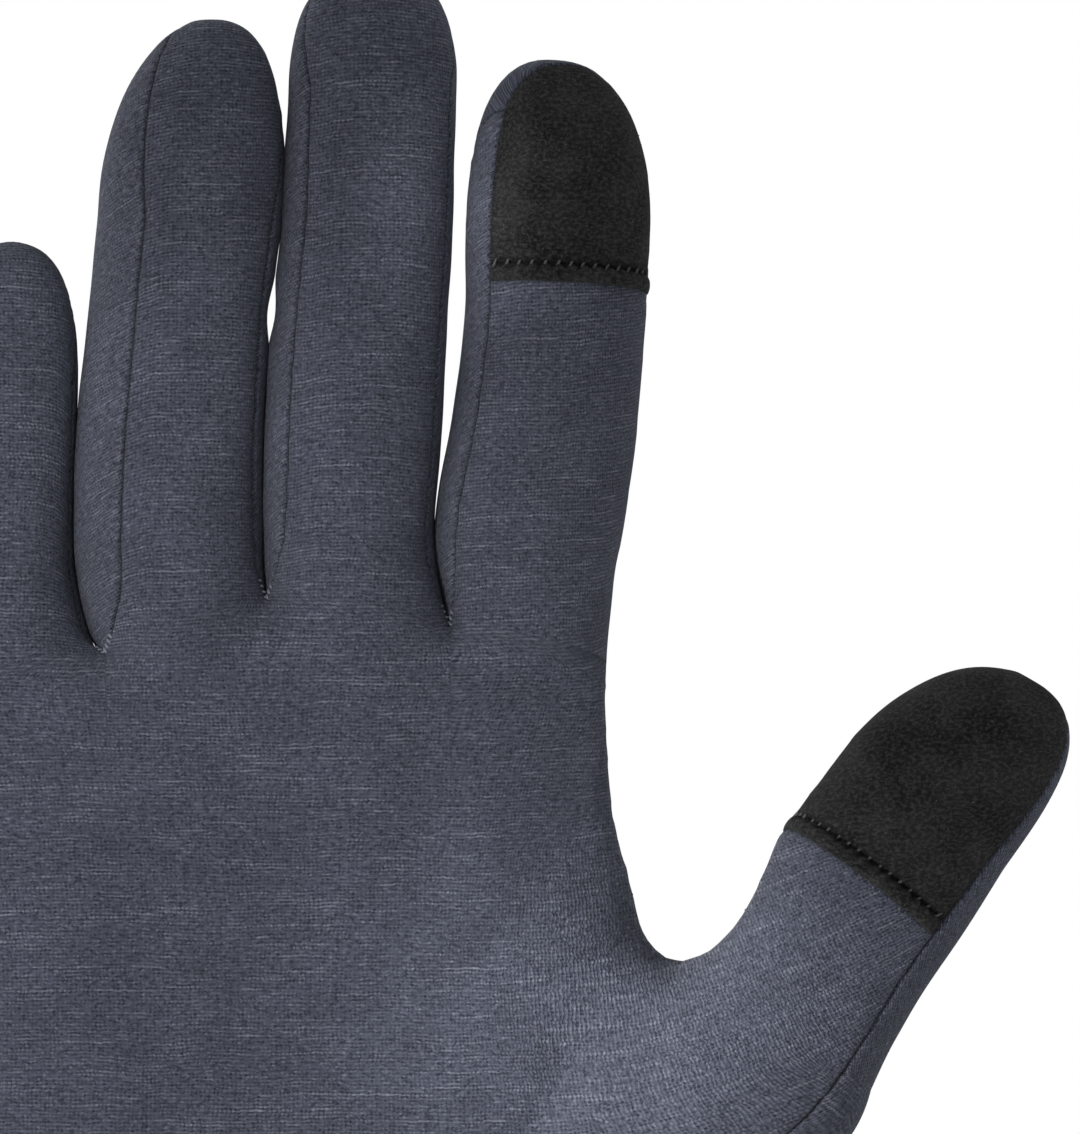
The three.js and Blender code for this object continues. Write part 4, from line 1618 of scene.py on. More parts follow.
class Sketch:
    """A node tree in the making."""

    VALUE_BLEND = (0, 2, 3)
    COLOUR_BLEND = (0, 6, 7)

    def __init__(self, tree: bpy.types.NodeTree) -> None:
        """Takes hold of the tree to draw in."""
        self.tree = tree

    def feed(self, socket: bpy.types.NodeSocket, value: object) -> None:
        """Links a socket to an input, or sets the input's own value."""
        if isinstance(value, bpy.types.NodeSocket):
            self.tree.links.new(value, socket)
        else:
            socket.default_value = value

    def feed_all(self, node: bpy.types.Node, **inputs: object) -> None:
        """Feeds a node's inputs by name, with spaces in the names written as underscores."""
        for name, value in inputs.items():
            self.feed(node.inputs[name.replace("_", " ")], value)

    def node(self, kind: str, settings: dict | None = None, **inputs: object) -> bpy.types.Node:
        """Adds a shader node.

        Args:
            kind: what follows ShaderNode in the name of its type.
            settings: its properties.
            inputs: values or sockets for its inputs.

        Returns:
            The node.
        """
        node = self.tree.nodes.new(f"ShaderNode{kind}")
        for name, value in (settings or {}).items():
            setattr(node, name, value)
        self.feed_all(node, **inputs)
        return node

    def group(self, tree: bpy.types.NodeTree, **inputs: object) -> bpy.types.NodeOutputs:
        """Outputs of a shared effect."""
        return self.node("Group", {"node_tree": tree}, **inputs).outputs

    def operation(
        self, kind: str, operation: str, *values: object, **inputs: object
    ) -> bpy.types.NodeOutputs:
        """Outputs of an operation, with its values in order."""
        node = self.node(kind, {"operation": operation}, **inputs)
        for socket, value in zip(node.inputs, values):
            self.feed(socket, value)
        return node.outputs

    def math(self, operation: str, *values: object) -> bpy.types.NodeSocket:
        """An operation on up to three values."""
        return self.operation("Math", operation, *values)[0]

    def vector(self, operation: str, *values: object, **inputs: object) -> bpy.types.NodeSocket:
        """An operation on vectors that gives a vector."""
        return self.operation("VectorMath", operation, *values, **inputs)["Vector"]

    def plus(self, a: object, b: object) -> bpy.types.NodeSocket:
        """Sum of two values."""
        return self.math("ADD", a, b)

    def times(self, a: object, b: object) -> bpy.types.NodeSocket:
        """Product of two values."""
        return self.math("MULTIPLY", a, b)

    def swing(self, value: object) -> bpy.types.NodeSocket:
        """Goes from 1 to 0 and back with every whole step of a value."""
        return self.math("MULTIPLY_ADD", self.math("COSINE", self.times(value, math.tau)), 0.5, 0.5)

    def bell(self, value: object, narrow: float) -> bpy.types.NodeSocket:
        """A bell curve over a value, with its top of 1 at 0."""
        return self.math("POWER", 2.0, self.times(self.times(value, value), -narrow))

    def remap(
        self, value: object, low: float, high: float, start: float = 0.0, stop: float = 1.0
    ) -> bpy.types.NodeSocket:
        """A value's smooth way from one range to another."""
        ranges = {"From_Min": low, "From_Max": high, "To_Min": start, "To_Max": stop}
        node = self.node("MapRange", {"interpolation_type": "SMOOTHSTEP"}, Value=value, **ranges)
        return node.outputs["Result"]

    def mixed(self, factor: object, a: object, b: object) -> bpy.types.NodeSocket:
        """A blend of two values."""
        node = self.node("Mix", {"data_type": "FLOAT"})
        for number, value in zip(self.VALUE_BLEND, (factor, a, b)):
            self.feed(node.inputs[number], value)
        return node.outputs[0]

    def blend(self, factor: object, a: object, b: object, kind: str = "MIX") -> bpy.types.NodeSocket:
        """A blend of two colours."""
        node = self.node("Mix", {"data_type": "RGBA", "blend_type": kind})
        for number, value in zip(self.COLOUR_BLEND, (factor, a, b)):
            self.feed(node.inputs[number], value)
        return node.outputs[2]

    def noise(
        self, vector: object, scale: float, detail: float = 2.0, roughness: float = 0.5, output: str = "Fac"
    ) -> bpy.types.NodeSocket:
        """Noise between 0 and 1, as a value or as a colour."""
        node = self.node("TexNoise", Vector=vector, Scale=scale, Detail=detail, Roughness=roughness)
        return node.outputs[output]

    def chance(self, dimensions: int, **inputs: object) -> bpy.types.NodeSocket:
        """A number between 0 and 1 that differs from place to place without a pattern."""
        settings = {"noise_dimensions": f"{dimensions}D"}
        return self.node("TexWhiteNoise", settings, **inputs).outputs["Value"]

    def scaled(self, vector: object, x: float, y: float) -> bpy.types.NodeSocket:
        """A vector with its first two parts scaled."""
        return self.vector("MULTIPLY", vector, (x, y, 1.0))

    def combined(self, x: object, y: object, z: object = 0.0) -> bpy.types.NodeSocket:
        """Three values as a vector."""
        return self.node("CombineXYZ", X=x, Y=y, Z=z).outputs[0]

    def uv(self, name: str) -> bpy.types.NodeSocket:
        """Coordinates that the mesh keeps under a name."""
        return self.node("UVMap", {"uv_map": name}).outputs[0]

    def place(self) -> bpy.types.NodeSocket:
        """Place in the frame of the part, in metres."""
        return self.node("TexCoord").outputs["Object"]

    def bump(self, **inputs: object) -> bpy.types.NodeSocket:
        """Direction of the surface with a relief."""
        return self.node("Bump", **inputs).outputs[0]


def new_group(name: str, outputs: str, **inputs: object) -> tuple[Sketch, dict, bpy.types.Node]:
    """Starts a shader node group, whose first input is a vector.

    Args:
        name: its name.
        outputs: names of its outputs, which are values, or a colour where the name is Color.
        inputs: default value or colour of each further input.

    Returns:
        The sketch of its tree, its inputs' sockets by name, and the node that takes its outputs.
    """
    tree = bpy.data.node_groups.new(name, "ShaderNodeTree")
    tree.interface.new_socket("Vector", in_out="INPUT", socket_type="NodeSocketVector")
    for title, value in inputs.items():
        kind = "Color" if isinstance(value, tuple) else "Float"
        socket = tree.interface.new_socket(title, in_out="INPUT", socket_type=f"NodeSocket{kind}")
        socket.default_value = value
    for title in outputs.split():
        kind = "Color" if title == "Color" else "Float"
        tree.interface.new_socket(title, in_out="OUTPUT", socket_type=f"NodeSocket{kind}")
    given = {socket.name: socket for socket in tree.nodes.new("NodeGroupInput").outputs if socket.name}
    return Sketch(tree), given, tree.nodes.new("NodeGroupOutput")


class Effects:
    """Shader node groups that more than one finish uses, each built once."""

    def __init__(self) -> None:
        """Builds the groups."""
        self.knit = self.knit_loops()
        self.heather = self.heathered_yarn()
        self.sewn = self.sewn_edge()
        self.nap = self.short_nap()

    @staticmethod
    def knit_loops() -> bpy.types.NodeTree:
        """Rows of small knitted loops: their height, each loop's own shade and the yarn's thick places."""
        sketch, given, out = new_group(
            "knit_loops", "Height Loop Gap Cell Slub", Wale=0.56, Course=0.48, Wander=1.4, Ribs=0.0
        )
        flat = given["Vector"]
        # The loops wander slowly, and fuzz frays their edges.
        drift = sketch.vector("SUBTRACT", sketch.noise(flat, 0.07, output="Color"), (0.5, 0.5, 0.5))
        moved = sketch.vector("ADD", flat, sketch.vector("SCALE", drift, Scale=given["Wander"]))
        fuzz = sketch.noise(flat, 1.3, output="Color")
        loose = sketch.vector("MULTIPLY_ADD", fuzz, (0.7, 0.42, 0.0), moved)
        parts = sketch.node("SeparateXYZ", Vector=loose)
        course = sketch.math("DIVIDE", parts.outputs["Y"], given["Course"])
        row = sketch.math("ROUND", course)
        wale = sketch.math("DIVIDE", parts.outputs["X"], given["Wale"])
        wale = sketch.plus(wale, sketch.times(sketch.chance(1, W=row), 0.4))
        cell = sketch.chance(2, Vector=sketch.combined(sketch.math("ROUND", wale), row))
        between = sketch.combined(sketch.math("FLOOR", wale), sketch.math("FLOOR", course), 7.0)
        hole = sketch.chance(3, Vector=between)
        # Loops run together to dashes in places, and to upright ribs where the cloth is stretched.
        across, upward = sketch.swing(wale), sketch.swing(course)
        merge = sketch.remap(sketch.noise(sketch.scaled(flat, 0.25, 0.7), 1.0), 0.42, 0.62, 0.0, 0.8)
        spot = sketch.math("MAXIMUM", sketch.remap(across, 0.0, 0.7), merge)
        dash = sketch.times(spot, sketch.remap(upward, 0.2, 0.95))
        rib = sketch.math("MULTIPLY_ADD", upward, 0.3, 0.7)
        rib = sketch.times(sketch.remap(across, 0.15, 0.95), rib)
        loop = sketch.mixed(given["Ribs"], dash, rib)
        # The gaps between the loops sink the relief and mask the painted shade between them.
        gap = sketch.times(sketch.remap(across, 0.95, 0.25), sketch.remap(upward, 0.8, 0.1))
        gap = sketch.times(gap, sketch.math("MULTIPLY_ADD", hole, 0.9, 0.1))
        slub = sketch.noise(sketch.combined(sketch.times(wale, 0.06), sketch.times(row, 3.71)), 1.0)
        fibres = sketch.noise(sketch.scaled(flat, 2.2, 3.4), 1.0, 3.0, 0.7)
        height = sketch.plus(sketch.times(loop, 0.75), sketch.times(fibres, 0.45))
        height = sketch.math("SUBTRACT", height, sketch.times(gap, 0.5))
        sketch.feed_all(out, Height=height, Loop=loop, Gap=gap, Cell=cell, Slub=slub)
        return sketch.tree

    @staticmethod
    def heathered_yarn() -> bpy.types.NodeTree:
        """Colour of mixed yarn: light loops on a darker ground, dark flecks, pale streaks, and painted shade
        in the gaps between the loops.
        """
        sketch, given, out = new_group(
            "heathered_yarn", "Color Pale", Loop=0.5, Cell=0.5, Slub=0.5, Flecks=0.34, Gap=0.0,
            Dark=(0.03, 0.03, 0.04, 1), Middle=(0.07, 0.08, 0.1, 1), Light=(0.2, 0.2, 0.24, 1),
        )
        flat = given["Vector"]
        flecks = sketch.noise(sketch.scaled(flat, 1.1, 2.0), 1.0, 3.0, 0.75)
        clouds = sketch.noise(flat, 0.11, 3.0, 0.6)
        patches = sketch.noise(flat, 0.9, 2.0, 0.6)
        shine = sketch.math("MULTIPLY_ADD", sketch.math("POWER", given["Cell"], 2.0), 0.5, 0.05)
        shine = sketch.times(shine, sketch.remap(patches, 0.32, 0.62, 0.4, 1.15))
        shine = sketch.plus(shine, sketch.times(sketch.remap(given["Slub"], 0.54, 0.68), 0.5))
        pale_flecks = sketch.times(sketch.remap(flecks, 0.54, 0.74), given["Flecks"])
        pale = sketch.plus(sketch.times(shine, given["Loop"]), pale_flecks)
        dark_flecks = sketch.times(sketch.remap(flecks, 0.54, 0.34), 0.8)
        # Painted shade between the loops: the gaps darken the ground like the yarn's own dark flecks.
        dark = sketch.math("MAXIMUM", dark_flecks, given["Gap"])
        ground = sketch.blend(dark, given["Middle"], given["Dark"])
        colour = sketch.blend(pale, ground, given["Light"])
        tone = sketch.remap(clouds, 0.3, 0.7, 0.9, 1.1)
        red = sketch.times(tone, sketch.remap(patches, 0.35, 0.65, 1.02, 0.99))
        tint = sketch.node("CombineColor", Red=red, Green=tone, Blue=tone).outputs[0]
        sketch.feed_all(out, Color=sketch.blend(1.0, colour, tint, "MULTIPLY"), Pale=pale)
        return sketch.tree

    @staticmethod
    def sewn_edge() -> bpy.types.NodeTree:
        """A seam's crease, needle holes and puckers, from the distance to it and the length along it."""
        sketch, given, out = new_group("sewn_edge", "Crease Holes Height", Pitch=1.3, Width=0.3)
        parts = sketch.node("SeparateXYZ", Vector=given["Vector"])
        far = sketch.math("DIVIDE", parts.outputs["X"], given["Width"])
        beat = sketch.swing(sketch.math("DIVIDE", parts.outputs["Y"], given["Pitch"]))
        ring = sketch.bell(sketch.math("SUBTRACT", far, 1.5), 1.6)
        holes = sketch.times(ring, sketch.math("POWER", beat, 3.0))
        pucker = sketch.times(sketch.bell(far, 0.12), beat)
        depth = sketch.plus(sketch.times(pucker, 0.5), sketch.times(holes, 0.5))
        height = sketch.math("SUBTRACT", 1.0, depth)
        # Crease and Holes mask the painted shade in a seam's crease and needle holes.
        sketch.feed_all(out, Crease=sketch.bell(far, 1.0), Holes=holes, Height=height)
        return sketch.tree

    @staticmethod
    def short_nap() -> bpy.types.NodeTree:
        """Short brushed fibres: their height, the tiny specks where glints of light are painted, and broad
        clouds.
        """
        sketch, given, out = new_group("short_nap", "Height Specks Clouds")
        flat = given["Vector"]
        fibres = sketch.noise(sketch.scaled(flat, 1.5, 2.2), 1.0, 4.0, 0.75)
        specks = sketch.remap(sketch.noise(flat, 2.1, 2.0, 0.8), 0.6, 0.78)
        sketch.feed_all(out, Height=fibres, Specks=specks, Clouds=sketch.noise(flat, 0.16, 3.0, 0.6))
        return sketch.tree


def new_material(name: str) -> tuple[bpy.types.Material, Sketch, bpy.types.Node]:
    """Starts a material: the material, the sketch of its tree and its shader."""
    material = bpy.data.materials.new(name)
    material.use_nodes = True
    return material, Sketch(material.node_tree), material.node_tree.nodes["Principled BSDF"]


def with_painted_seam_shade(
    sketch: Sketch, sewn: bpy.types.NodeOutputs, cloth: object, dark: Colour, share: float
) -> bpy.types.NodeSocket:
    """Darkens a cloth's colour by a share with painted shade in the crease and the needle holes of its seams.
    """
    shade = sketch.times(sketch.math("MAXIMUM", sewn["Crease"], sewn["Holes"]), share)
    return sketch.blend(shade, cloth, dark)


@dataclass(frozen=True)
class WoolFinish:
    """Fine heathered jersey: its yarn colours, the colour of its painted seam shade, and the size of its knit
    in millimetres.

    The cloth is stretched to ribs round a place, which is in metres like the reliefs and the reach.
    """

    name: str
    dark: Colour = (0.018, 0.020, 0.032, 1)
    middle: Colour = (0.084, 0.093, 0.128, 1)
    light: Colour = (0.240, 0.256, 0.312, 1)
    # Colour of the painted shade in the seams' creases and needle holes.
    seam: Colour = (0.012, 0.012, 0.018, 1)
    sheen: Colour = (0.75, 0.78, 0.9, 1)
    painted_seam_shade_share: float = 0.6
    seam_width: float = 0.15
    flecks: float = 0.36
    wale: float = 0.56
    course: float = 0.48
    relief: float = 0.00016
    pucker_relief: float = 0.00022
    stretched_at: tuple[float, float, float] = (0.053, -0.014, 0.113)
    stretched_reach: float = 0.030
    stretched_share: float = 0.85

    def material(self, effects: Effects) -> bpy.types.Material:
        """The finish as a material."""
        material, sketch, shader = new_material(self.name)
        flat = sketch.uv("knit")
        far = sketch.operation("VectorMath", "DISTANCE", sketch.place(), self.stretched_at)["Value"]
        reach = self.stretched_reach
        ribs = sketch.remap(far, reach, reach / 2, 0.0, self.stretched_share)
        knit = sketch.group(effects.knit, Vector=flat, Wale=self.wale, Course=self.course, Ribs=ribs)
        loops = {name: knit[name] for name in ("Loop", "Cell", "Slub", "Gap")}
        colours = {"Dark": self.dark, "Middle": self.middle, "Light": self.light}
        yarn = sketch.group(effects.heather, Vector=flat, Flecks=self.flecks, **loops, **colours)
        sewn = sketch.group(effects.sewn, Vector=sketch.uv("seam"), Width=self.seam_width)
        puckered = sketch.bump(Strength=0.8, Distance=self.pucker_relief, Height=sewn["Height"])
        # The base colour carries painted shade in the seams' creases and needle holes.
        sketch.feed_all(
            shader,
            Base_Color=with_painted_seam_shade(sketch, sewn, yarn["Color"], self.seam, self.painted_seam_shade_share),
            Roughness=sketch.remap(yarn["Pale"], 0.0, 1.0, 0.95, 0.8),
            Normal=sketch.bump(Strength=0.9, Distance=self.relief, Height=knit["Height"], Normal=puckered),
            Specular_IOR_Level=0.25,
            Sheen_Weight=0.12,
            Sheen_Roughness=0.5,
            Sheen_Tint=self.sheen,
        )
        return material


@dataclass(frozen=True)
class NapFinish:
    """Black tip cloth with a short, matte nap, whose relief is in metres."""

    name: str = "black_nap"
    ground: Colour = (0.0035, 0.0035, 0.0037, 1)
    grey: Colour = (0.056, 0.056, 0.055, 1)
    # Pale grey of the painted glints on tiny specks of the nap.
    painted_glint: Colour = (0.16, 0.16, 0.158, 1)
    # Colour of the painted shade in the seams and in the groove above the rolled edge.
    seam: Colour = (0.003, 0.003, 0.004, 1)
    painted_seam_shade_share: float = 0.8
    painted_glint_share: float = 0.7
    relief: float = 0.0005

    def material(self, effects: Effects) -> bpy.types.Material:
        """The finish as a material."""
        material, sketch, shader = new_material(self.name)
        nap = sketch.group(effects.nap, Vector=sketch.uv("knit"))
        sewn = sketch.group(effects.sewn, Vector=sketch.uv("seam"), Pitch=HEM_SEWING.pitch)
        fibres = sketch.remap(nap["Height"], 0.42, 0.64, 0.0, 0.75)
        tone = sketch.plus(fibres, sketch.remap(nap["Clouds"], 0.3, 0.7, 0.0, 0.35))
        colour = sketch.blend(tone, self.ground, self.grey)
        # Painted glints: tiny specks of the nap are lightened towards a pale grey.
        colour = sketch.blend(sketch.times(nap["Specks"], self.painted_glint_share), colour, self.painted_glint)
        sketch.feed_all(
            shader,
            Base_Color=with_painted_seam_shade(sketch, sewn, colour, self.seam, self.painted_seam_shade_share),
            Roughness=sketch.remap(nap["Specks"], 0.0, 1.0, 0.95, 0.75),
            Normal=sketch.bump(Strength=1.0, Distance=self.relief, Height=nap["Height"]),
            Specular_IOR_Level=0.2,
            Sheen_Weight=0.05,
        )
        return material


@dataclass(frozen=True)
class ThreadFinish:
    """Twisted sewing thread, with a relief in metres."""

    name: str
    colour: Colour
    paler: float = 1.6
    relief: float = 0.00005

    def material(self) -> bpy.types.Material:
        """The finish as a material."""
        material, sketch, shader = new_material(self.name)
        grain = sketch.noise(sketch.place(), 9000.0, 2.0, 0.6)
        pale = tuple(self.paler * value for value in self.colour[:3]) + (1.0,)
        sketch.feed_all(
            shader,
            Base_Color=sketch.blend(sketch.remap(grain, 0.4, 0.7), self.colour, pale),
            Normal=sketch.bump(Strength=0.5, Distance=self.relief, Height=grain),
            Roughness=0.7,
        )
        return material


@dataclass(frozen=True)
class FloorFinish:
    """Pale, even paper under the glove."""

    name: str = "pale_paper"
    colour: Colour = (0.88, 0.88, 0.88, 1)

    def material(self) -> bpy.types.Material:
        """The finish as a material."""
        material, sketch, shader = new_material(self.name)
        shade = sketch.remap(sketch.noise(sketch.place(), 40.0, 3.0), 0.0, 1.0, 0.985, 1.0)
        grey = sketch.node("CombineColor", Red=shade, Green=shade, Blue=shade).outputs[0]
        colour = sketch.blend(1.0, self.colour, grey, "MULTIPLY")
        sketch.feed_all(shader, Base_Color=colour, Roughness=0.8)
        return material


WOOL = WoolFinish("wool_jersey")
BIAS_WOOL = WoolFinish(
    "wool_jersey_bias", middle=(0.096, 0.105, 0.143, 1), wale=0.46, course=0.4, flecks=0.7
)
BAND_WOOL = WoolFinish("wool_band", middle=(0.080, 0.088, 0.121, 1))
# The hem thread is painted lighter than black thread: painted highlights on the stitches over the rolled
# edge.
BLACK_THREAD = ThreadFinish("black_thread", (0.072, 0.072, 0.07, 1))
SEAM_THREAD = ThreadFinish("seam_thread", (0.022, 0.023, 0.032, 1))
RIM_YARN = ThreadFinish("rim_yarn", (0.19, 0.205, 0.25, 1))


@dataclass
class KnitShell:
    """The wool panels: palm, back and the forked strips between the fingers."""

    hand: HandCloth
    effects: Effects
    wall: float = 1.4
    web: Web = Web()
    panels: dict[str, Panel] = field(default_factory=dict)

    def build(self) -> list[bpy.types.Object]:
        """Makes the five wool panels, which stand for the part's solids of their names."""
        wool, bias = WOOL.material(self.effects), BIAS_WOOL.material(self.effects)
        front, back = self.hand.front(), self.hand.back()
        self.web.even_out([*front, *back])
        self.web.lay_as_seen(front)
        plans = [
            ("palm_cloth", "palm_panel", front, Grain(), wool, Slot.JERSEY),
            ("back_cloth", "back_panel", back, Grain(facing=-1), wool, Slot.JERSEY),
        ]
        for left, right in zip(LONG_FINGERS, LONG_FINGERS[1:]):
            node = f"side_strip_{left}_{right}"
            legs = self.hand.strip(left, right)
            plans.append((f"{node}_cloth", node, legs, Grain(bias=32, slope=0), bias, Slot.SIDE))
        pieces = []
        for name, node, sheets, grain, material, slot in plans:
            panel = Panel(name, sheets, self.wall, grain, Softness())
            self.panels[node] = panel
            piece = add_piece(panel.mesh(), material)
            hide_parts(node)
            pieces.append(piece)
        return pieces


@dataclass
class TouchTip:
    """A black touch-screen tip with a rolled, overcast lower edge.

    The rows are distances from that edge, and the stitches pull the roll in and down at every beat.
    """

    hand: HandCloth
    finger: str
    cloth: bpy.types.Material
    thread: bpy.types.Material
    wall: float = 1.5
    roll_width: float = 2.3
    roll_height: float = 1.2
    pulled_in: float = 0.45
    pulled_down: float = 0.4
    groove_at: float = 0.15
    groove_reach: float = 0.34
    groove_depth: tuple[float, float] = (0.5, 0.75)
    overlap: float = 0.45
    fade: float = 3.2
    side_facing: float = 0.7
    least: tuple[float, float] = (0.1, 0.2)
    beaten: float = 1.2
    crease_at: float = 0.1
    rows: tuple[float, ...] = (
        0, 0.1, 0.25, 0.45, 0.7, 1.0, 1.3, 1.6, 1.85, 2.05, 2.2, 2.35, 2.5, 2.7, 3.0, 3.5,
    )
    sewn_row: int = 11

    def roll(self, place: Array, stitch: Array) -> Array:
        """Height of the roll over the cloth.

        Args:
            place: distance from its lower edge.
            stitch: length along the edge.

        Returns:
            The height, below zero in the groove that the stitches pull.
        """
        beat = 0.5 + 0.5 * np.cos(2 * np.pi * stitch / HEM_SEWING.pitch)
        width = self.roll_width - self.pulled_in * beat
        share = np.clip(place / width, 0, 1)
        bulge = np.sqrt(np.clip(1 - (2 * share - 1) ** 2, 0, 1)) * (1 - self.pulled_down * beat * share)
        groove = np.exp(-(((place - width - self.groove_at) / self.groove_reach) ** 2))
        return self.roll_height * bulge * (place < width) - groove * mix(*self.groove_depth, beat)

    def rolled(self) -> Sheet:
        """The tip's sheet with its roll, which is lower at both ends and where the cloth turns away."""
        sheet = self.hand.fingers[self.finger].tip(np.array(self.rows) - self.overlap)
        up = travelled(sheet.points, 0)
        along = travelled(sheet.points[:1], 1) + 0 * up
        out = np.cross(np.gradient(sheet.points, axis=1), np.gradient(sheet.points, axis=0))
        facing = -out[..., 1] / np.linalg.norm(out, axis=-1)
        least, least_aside = self.least
        ends = ease(sheet.seam / self.fade) * mix(least_aside, 1.0, ease(facing / self.side_facing))
        sheet.lift = self.roll(up, along) * mix(least, 1.0, ends)
        sheet.stitch = np.where(up < self.roll_width + self.beaten, along, sheet.stitch)
        # The groove above the roll counts as a seam, so the nap's painted seam shade darkens it too.
        sheet.seam = np.minimum(sheet.seam, np.abs(up - self.roll_width - self.crease_at))
        return sheet

    def build(self) -> list[bpy.types.Object]:
        """Makes the tip and its overcast stitches."""
        sheet = self.rolled()
        name = f"{self.finger}_tip_cloth"
        panel = Panel(name, [sheet], self.wall, Grain(slope=0), Softness(uneven=0.05))
        piece = add_piece(panel.mesh(), self.cloth)
        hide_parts(f"{self.finger}_touch_tip")
        columns = sheet.seam.shape[1]
        thread = Thread(HEM_SEWING)
        thread.follow(*panel.line(np.arange(columns) + self.sewn_row * columns))
        return [piece, add_piece(thread.mesh(f"{self.finger}_hem_stitches"), self.thread)]


@dataclass
class CuffBand:
    """The folded band that closes the wrist."""

    hand: HandCloth
    effects: Effects
    wall: float = 2.6

    def build(self) -> list[bpy.types.Object]:
        """Makes the band."""
        sheets = self.hand.band()
        panel = Panel("cuff_band_cloth", sheets, self.wall, Grain(slope=0), Softness(uneven=0.05))
        piece = add_piece(panel.mesh(), BAND_WOOL.material(self.effects))
        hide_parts("cuff_band")
        return [piece]


@dataclass
class SeamStitches:
    """The stitches in the furrows between the panels, and the yarn stitches round the forks."""

    shell: KnitShell
    sewn_within: float = 1.0
    fewest_rows: int = 9
    rim_reach: float = 3.2
    rim_length: float = 8.0

    def edges(self, panel: Panel) -> list[tuple[Array, Array]]:
        """Lines of points along the sewn edges of a panel's sheets, with the directions out of the cloth."""
        found = []
        for sheet in panel.sheets:
            for column in (0, -1):
                sewn = np.flatnonzero(sheet.seam[:, column] < self.sewn_within)
                for rows in np.split(sewn, np.flatnonzero(np.diff(sewn) > 1) + 1):
                    if rows.size >= self.fewest_rows:
                        found.append(panel.line(sheet.edge(column)[rows]))
        return found

    def build(self) -> list[bpy.types.Object]:
        """Sews along the sewn edges of the palm panel and the back panel, and round the forks."""
        thread, rim = Thread(SEAM_SEWING), Thread(RIM_SEWING)
        for name, run in (("palm_panel", Run.FRONT), ("back_panel", Run.BACK)):
            forks = self.shell.hand.corners(run)
            for line, out in self.edges(self.shell.panels[name]):
                thread.follow(line, out)
                far = np.linalg.norm(line[:, None] - forks[None], axis=-1).min(axis=1)
                close = np.flatnonzero(far < self.rim_reach)
                if close.size > 2 and travelled(line[close], 0)[-1] < self.rim_length:
                    rim.follow(line[close], out[close])
        return [
            add_piece(thread.mesh("seam_stitches"), SEAM_THREAD.material()),
            add_piece(rim.mesh("fork_stitches"), RIM_YARN.material()),
        ]


@dataclass(frozen=True)
class AreaLight:
    """A square lamp that faces the glove: where it stands and its side in metres, its power in watts."""

    name: str
    place: tuple[float, float, float]
    side: float
    power: float


@dataclass(frozen=True)
class PoolLight:
    """A spot light on a round part of the glove, in metres and watts.

    Its target is across and up. Its light fades out over the soft share of the radius, and its lamp's
    own radius blurs it.
    """

    name: str
    place: tuple[float, float, float]
    target: tuple[float, float]
    radius: float
    soft: float
    power: float
    lamp: float = 0.02


AREA_LIGHTS = (
    AreaLight("key_light", (-1.3, -0.95, 0.1), 0.8, 6.2),
    AreaLight("front_light", (0.1, -1.6, 0.25), 1.1, 1.8),
    AreaLight("rim_light", (-0.9, 0.9, 1.0), 0.9, 7.0),
    AreaLight("right_rim_light", (1.2, 0.2, 1.0), 0.7, 1.2),
)
POOL_LIGHTS = (
    PoolLight("palm_pool", (-0.55, -1.15, 0.12), (-0.035, 0.135), 0.088, 0.4, 23.0),
    PoolLight("thumb_pool", (-0.9, -0.9, 0.1), (0.0545, 0.1070), 0.034, 1.0, 88.0),
    PoolLight("high_strip_pool", (-0.75, -1.3, 0.3), (0.0225, 0.2200), 0.0095, 1.0, 38.0, 0.003),
    PoolLight("low_strip_pool", (-0.75, -1.3, 0.3), (0.0225, 0.2080), 0.0095, 1.0, 30.0, 0.003),
)


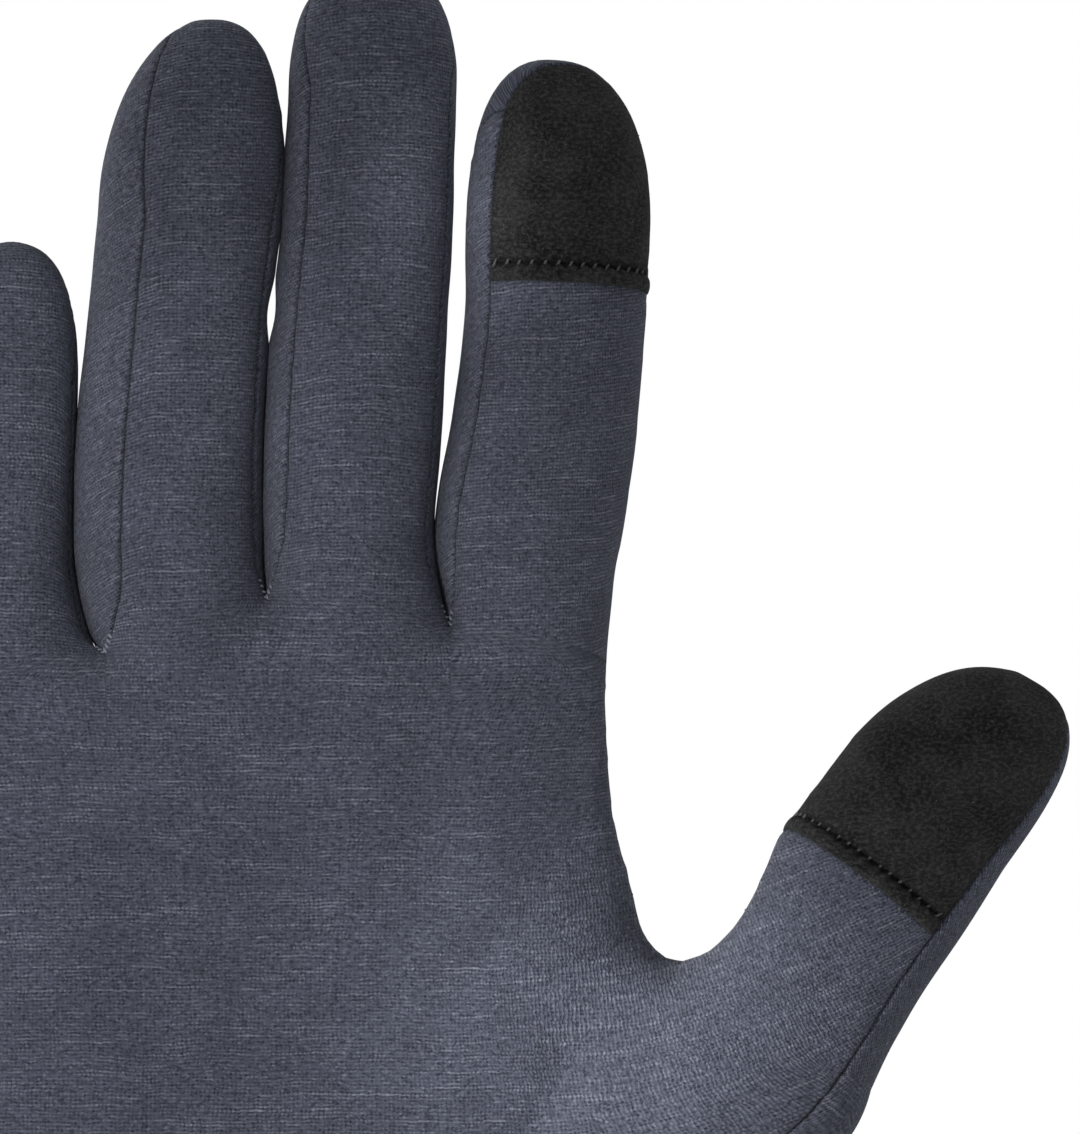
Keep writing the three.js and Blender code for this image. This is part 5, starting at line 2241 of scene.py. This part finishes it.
@dataclass
class Studio:
    """Pale floor, soft light from the upper left and a camera square to the palm, in metres."""

    distance: float = 1.5
    aim: tuple[float, float] = (0.03315, 0.16809)
    view_width: float = 0.1404
    sensor: float = 36.0
    clip_end: float = 20.0
    floor_size: float = 2.6
    floor_level: float = -0.0006
    palm_depth: float = -0.014
    room_light: float = 0.36

    def build(self) -> None:
        """Makes the floor, the lights, the world and the camera."""
        self.floor()
        self.lights()
        self.world()
        self.camera()
        bpy.context.scene.view_settings.view_transform = "Standard"

    def floor(self) -> None:
        """Lays the floor just below the cuff."""
        half = self.floor_size / 2
        mesh = bpy.data.meshes.new("floor")
        signs = ((-1, -1), (1, -1), (1, 1), (-1, 1))
        mesh.from_pydata([(x * half, y * half, self.floor_level) for x, y in signs], [], [(0, 1, 2, 3)])
        mesh.materials.append(FloorFinish().material())
        add_object("floor", mesh)

    def lights(self) -> None:
        """Adds the area lights and the pools."""
        for light in AREA_LIGHTS:
            data = bpy.data.lights.new(light.name, "AREA")
            data.size = light.side
            data.energy = light.power
            self.hang(data, light.place, (self.aim[0], 0, self.aim[1]))
        for pool in POOL_LIGHTS:
            data = bpy.data.lights.new(pool.name, "SPOT")
            data.shadow_soft_size = pool.lamp
            data.energy = pool.power
            data.spot_blend = pool.soft
            way = self.hang(data, pool.place, (pool.target[0], self.palm_depth, pool.target[1]))
            data.spot_size = 2 * math.atan(pool.radius / way.length)

    @staticmethod
    def hang(data: bpy.types.Light, place: tuple[float, ...], target: tuple[float, ...]) -> Vector:
        """Hangs a lamp at a place, turned to its target, and gives the way between them."""
        lamp = add_object(data.name, data)
        lamp.location = place
        way = Vector(target) - lamp.location
        lamp.rotation_mode = "QUATERNION"
        lamp.rotation_quaternion = way.to_track_quat("-Z", "Y")
        return way

    def world(self) -> None:
        """Makes a white background that lights the glove only softly."""
        world = bpy.data.worlds.new("white_room")
        bpy.context.scene.world = world
        world.use_nodes = True
        sketch = Sketch(world.node_tree)
        seen = sketch.node("LightPath").outputs["Is Camera Ray"]
        strength = sketch.math("MULTIPLY_ADD", seen, 1 - self.room_light, self.room_light)
        sketch.feed_all(world.node_tree.nodes["Background"], Color=(1, 1, 1, 1), Strength=strength)

    def camera(self) -> None:
        """Sets the camera square to the palm, with the photograph's framing."""
        data = bpy.data.cameras.new("camera")
        data.sensor_fit = "HORIZONTAL"
        data.sensor_width = self.sensor
        data.lens = self.sensor * self.distance / self.view_width
        data.clip_end = self.clip_end
        camera = add_object("camera", data)
        camera.location = (self.aim[0], -self.distance, self.aim[1])
        camera.rotation_euler = (math.pi / 2, 0, 0)
        bpy.context.scene.camera = camera


def main() -> None:
    """Builds the glove's pieces in order, then the studio round them."""
    logging.basicConfig(level=logging.INFO, format="%(message)s")
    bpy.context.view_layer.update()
    effects = Effects()
    hand = HandCloth()
    shell = KnitShell(hand, effects)
    nap, black_thread = NapFinish().material(effects), BLACK_THREAD.material()
    parts = [
        shell,
        TouchTip(hand, "index", nap, black_thread),
        TouchTip(hand, "thumb", nap, black_thread),
        CuffBand(hand, effects),
        SeamStitches(shell),
    ]
    for part in parts:
        for piece in part.build():
            log.info("%s: %d faces", piece.name, len(piece.data.polygons))
    Studio().build()


if __name__ == "__main__":
    main()
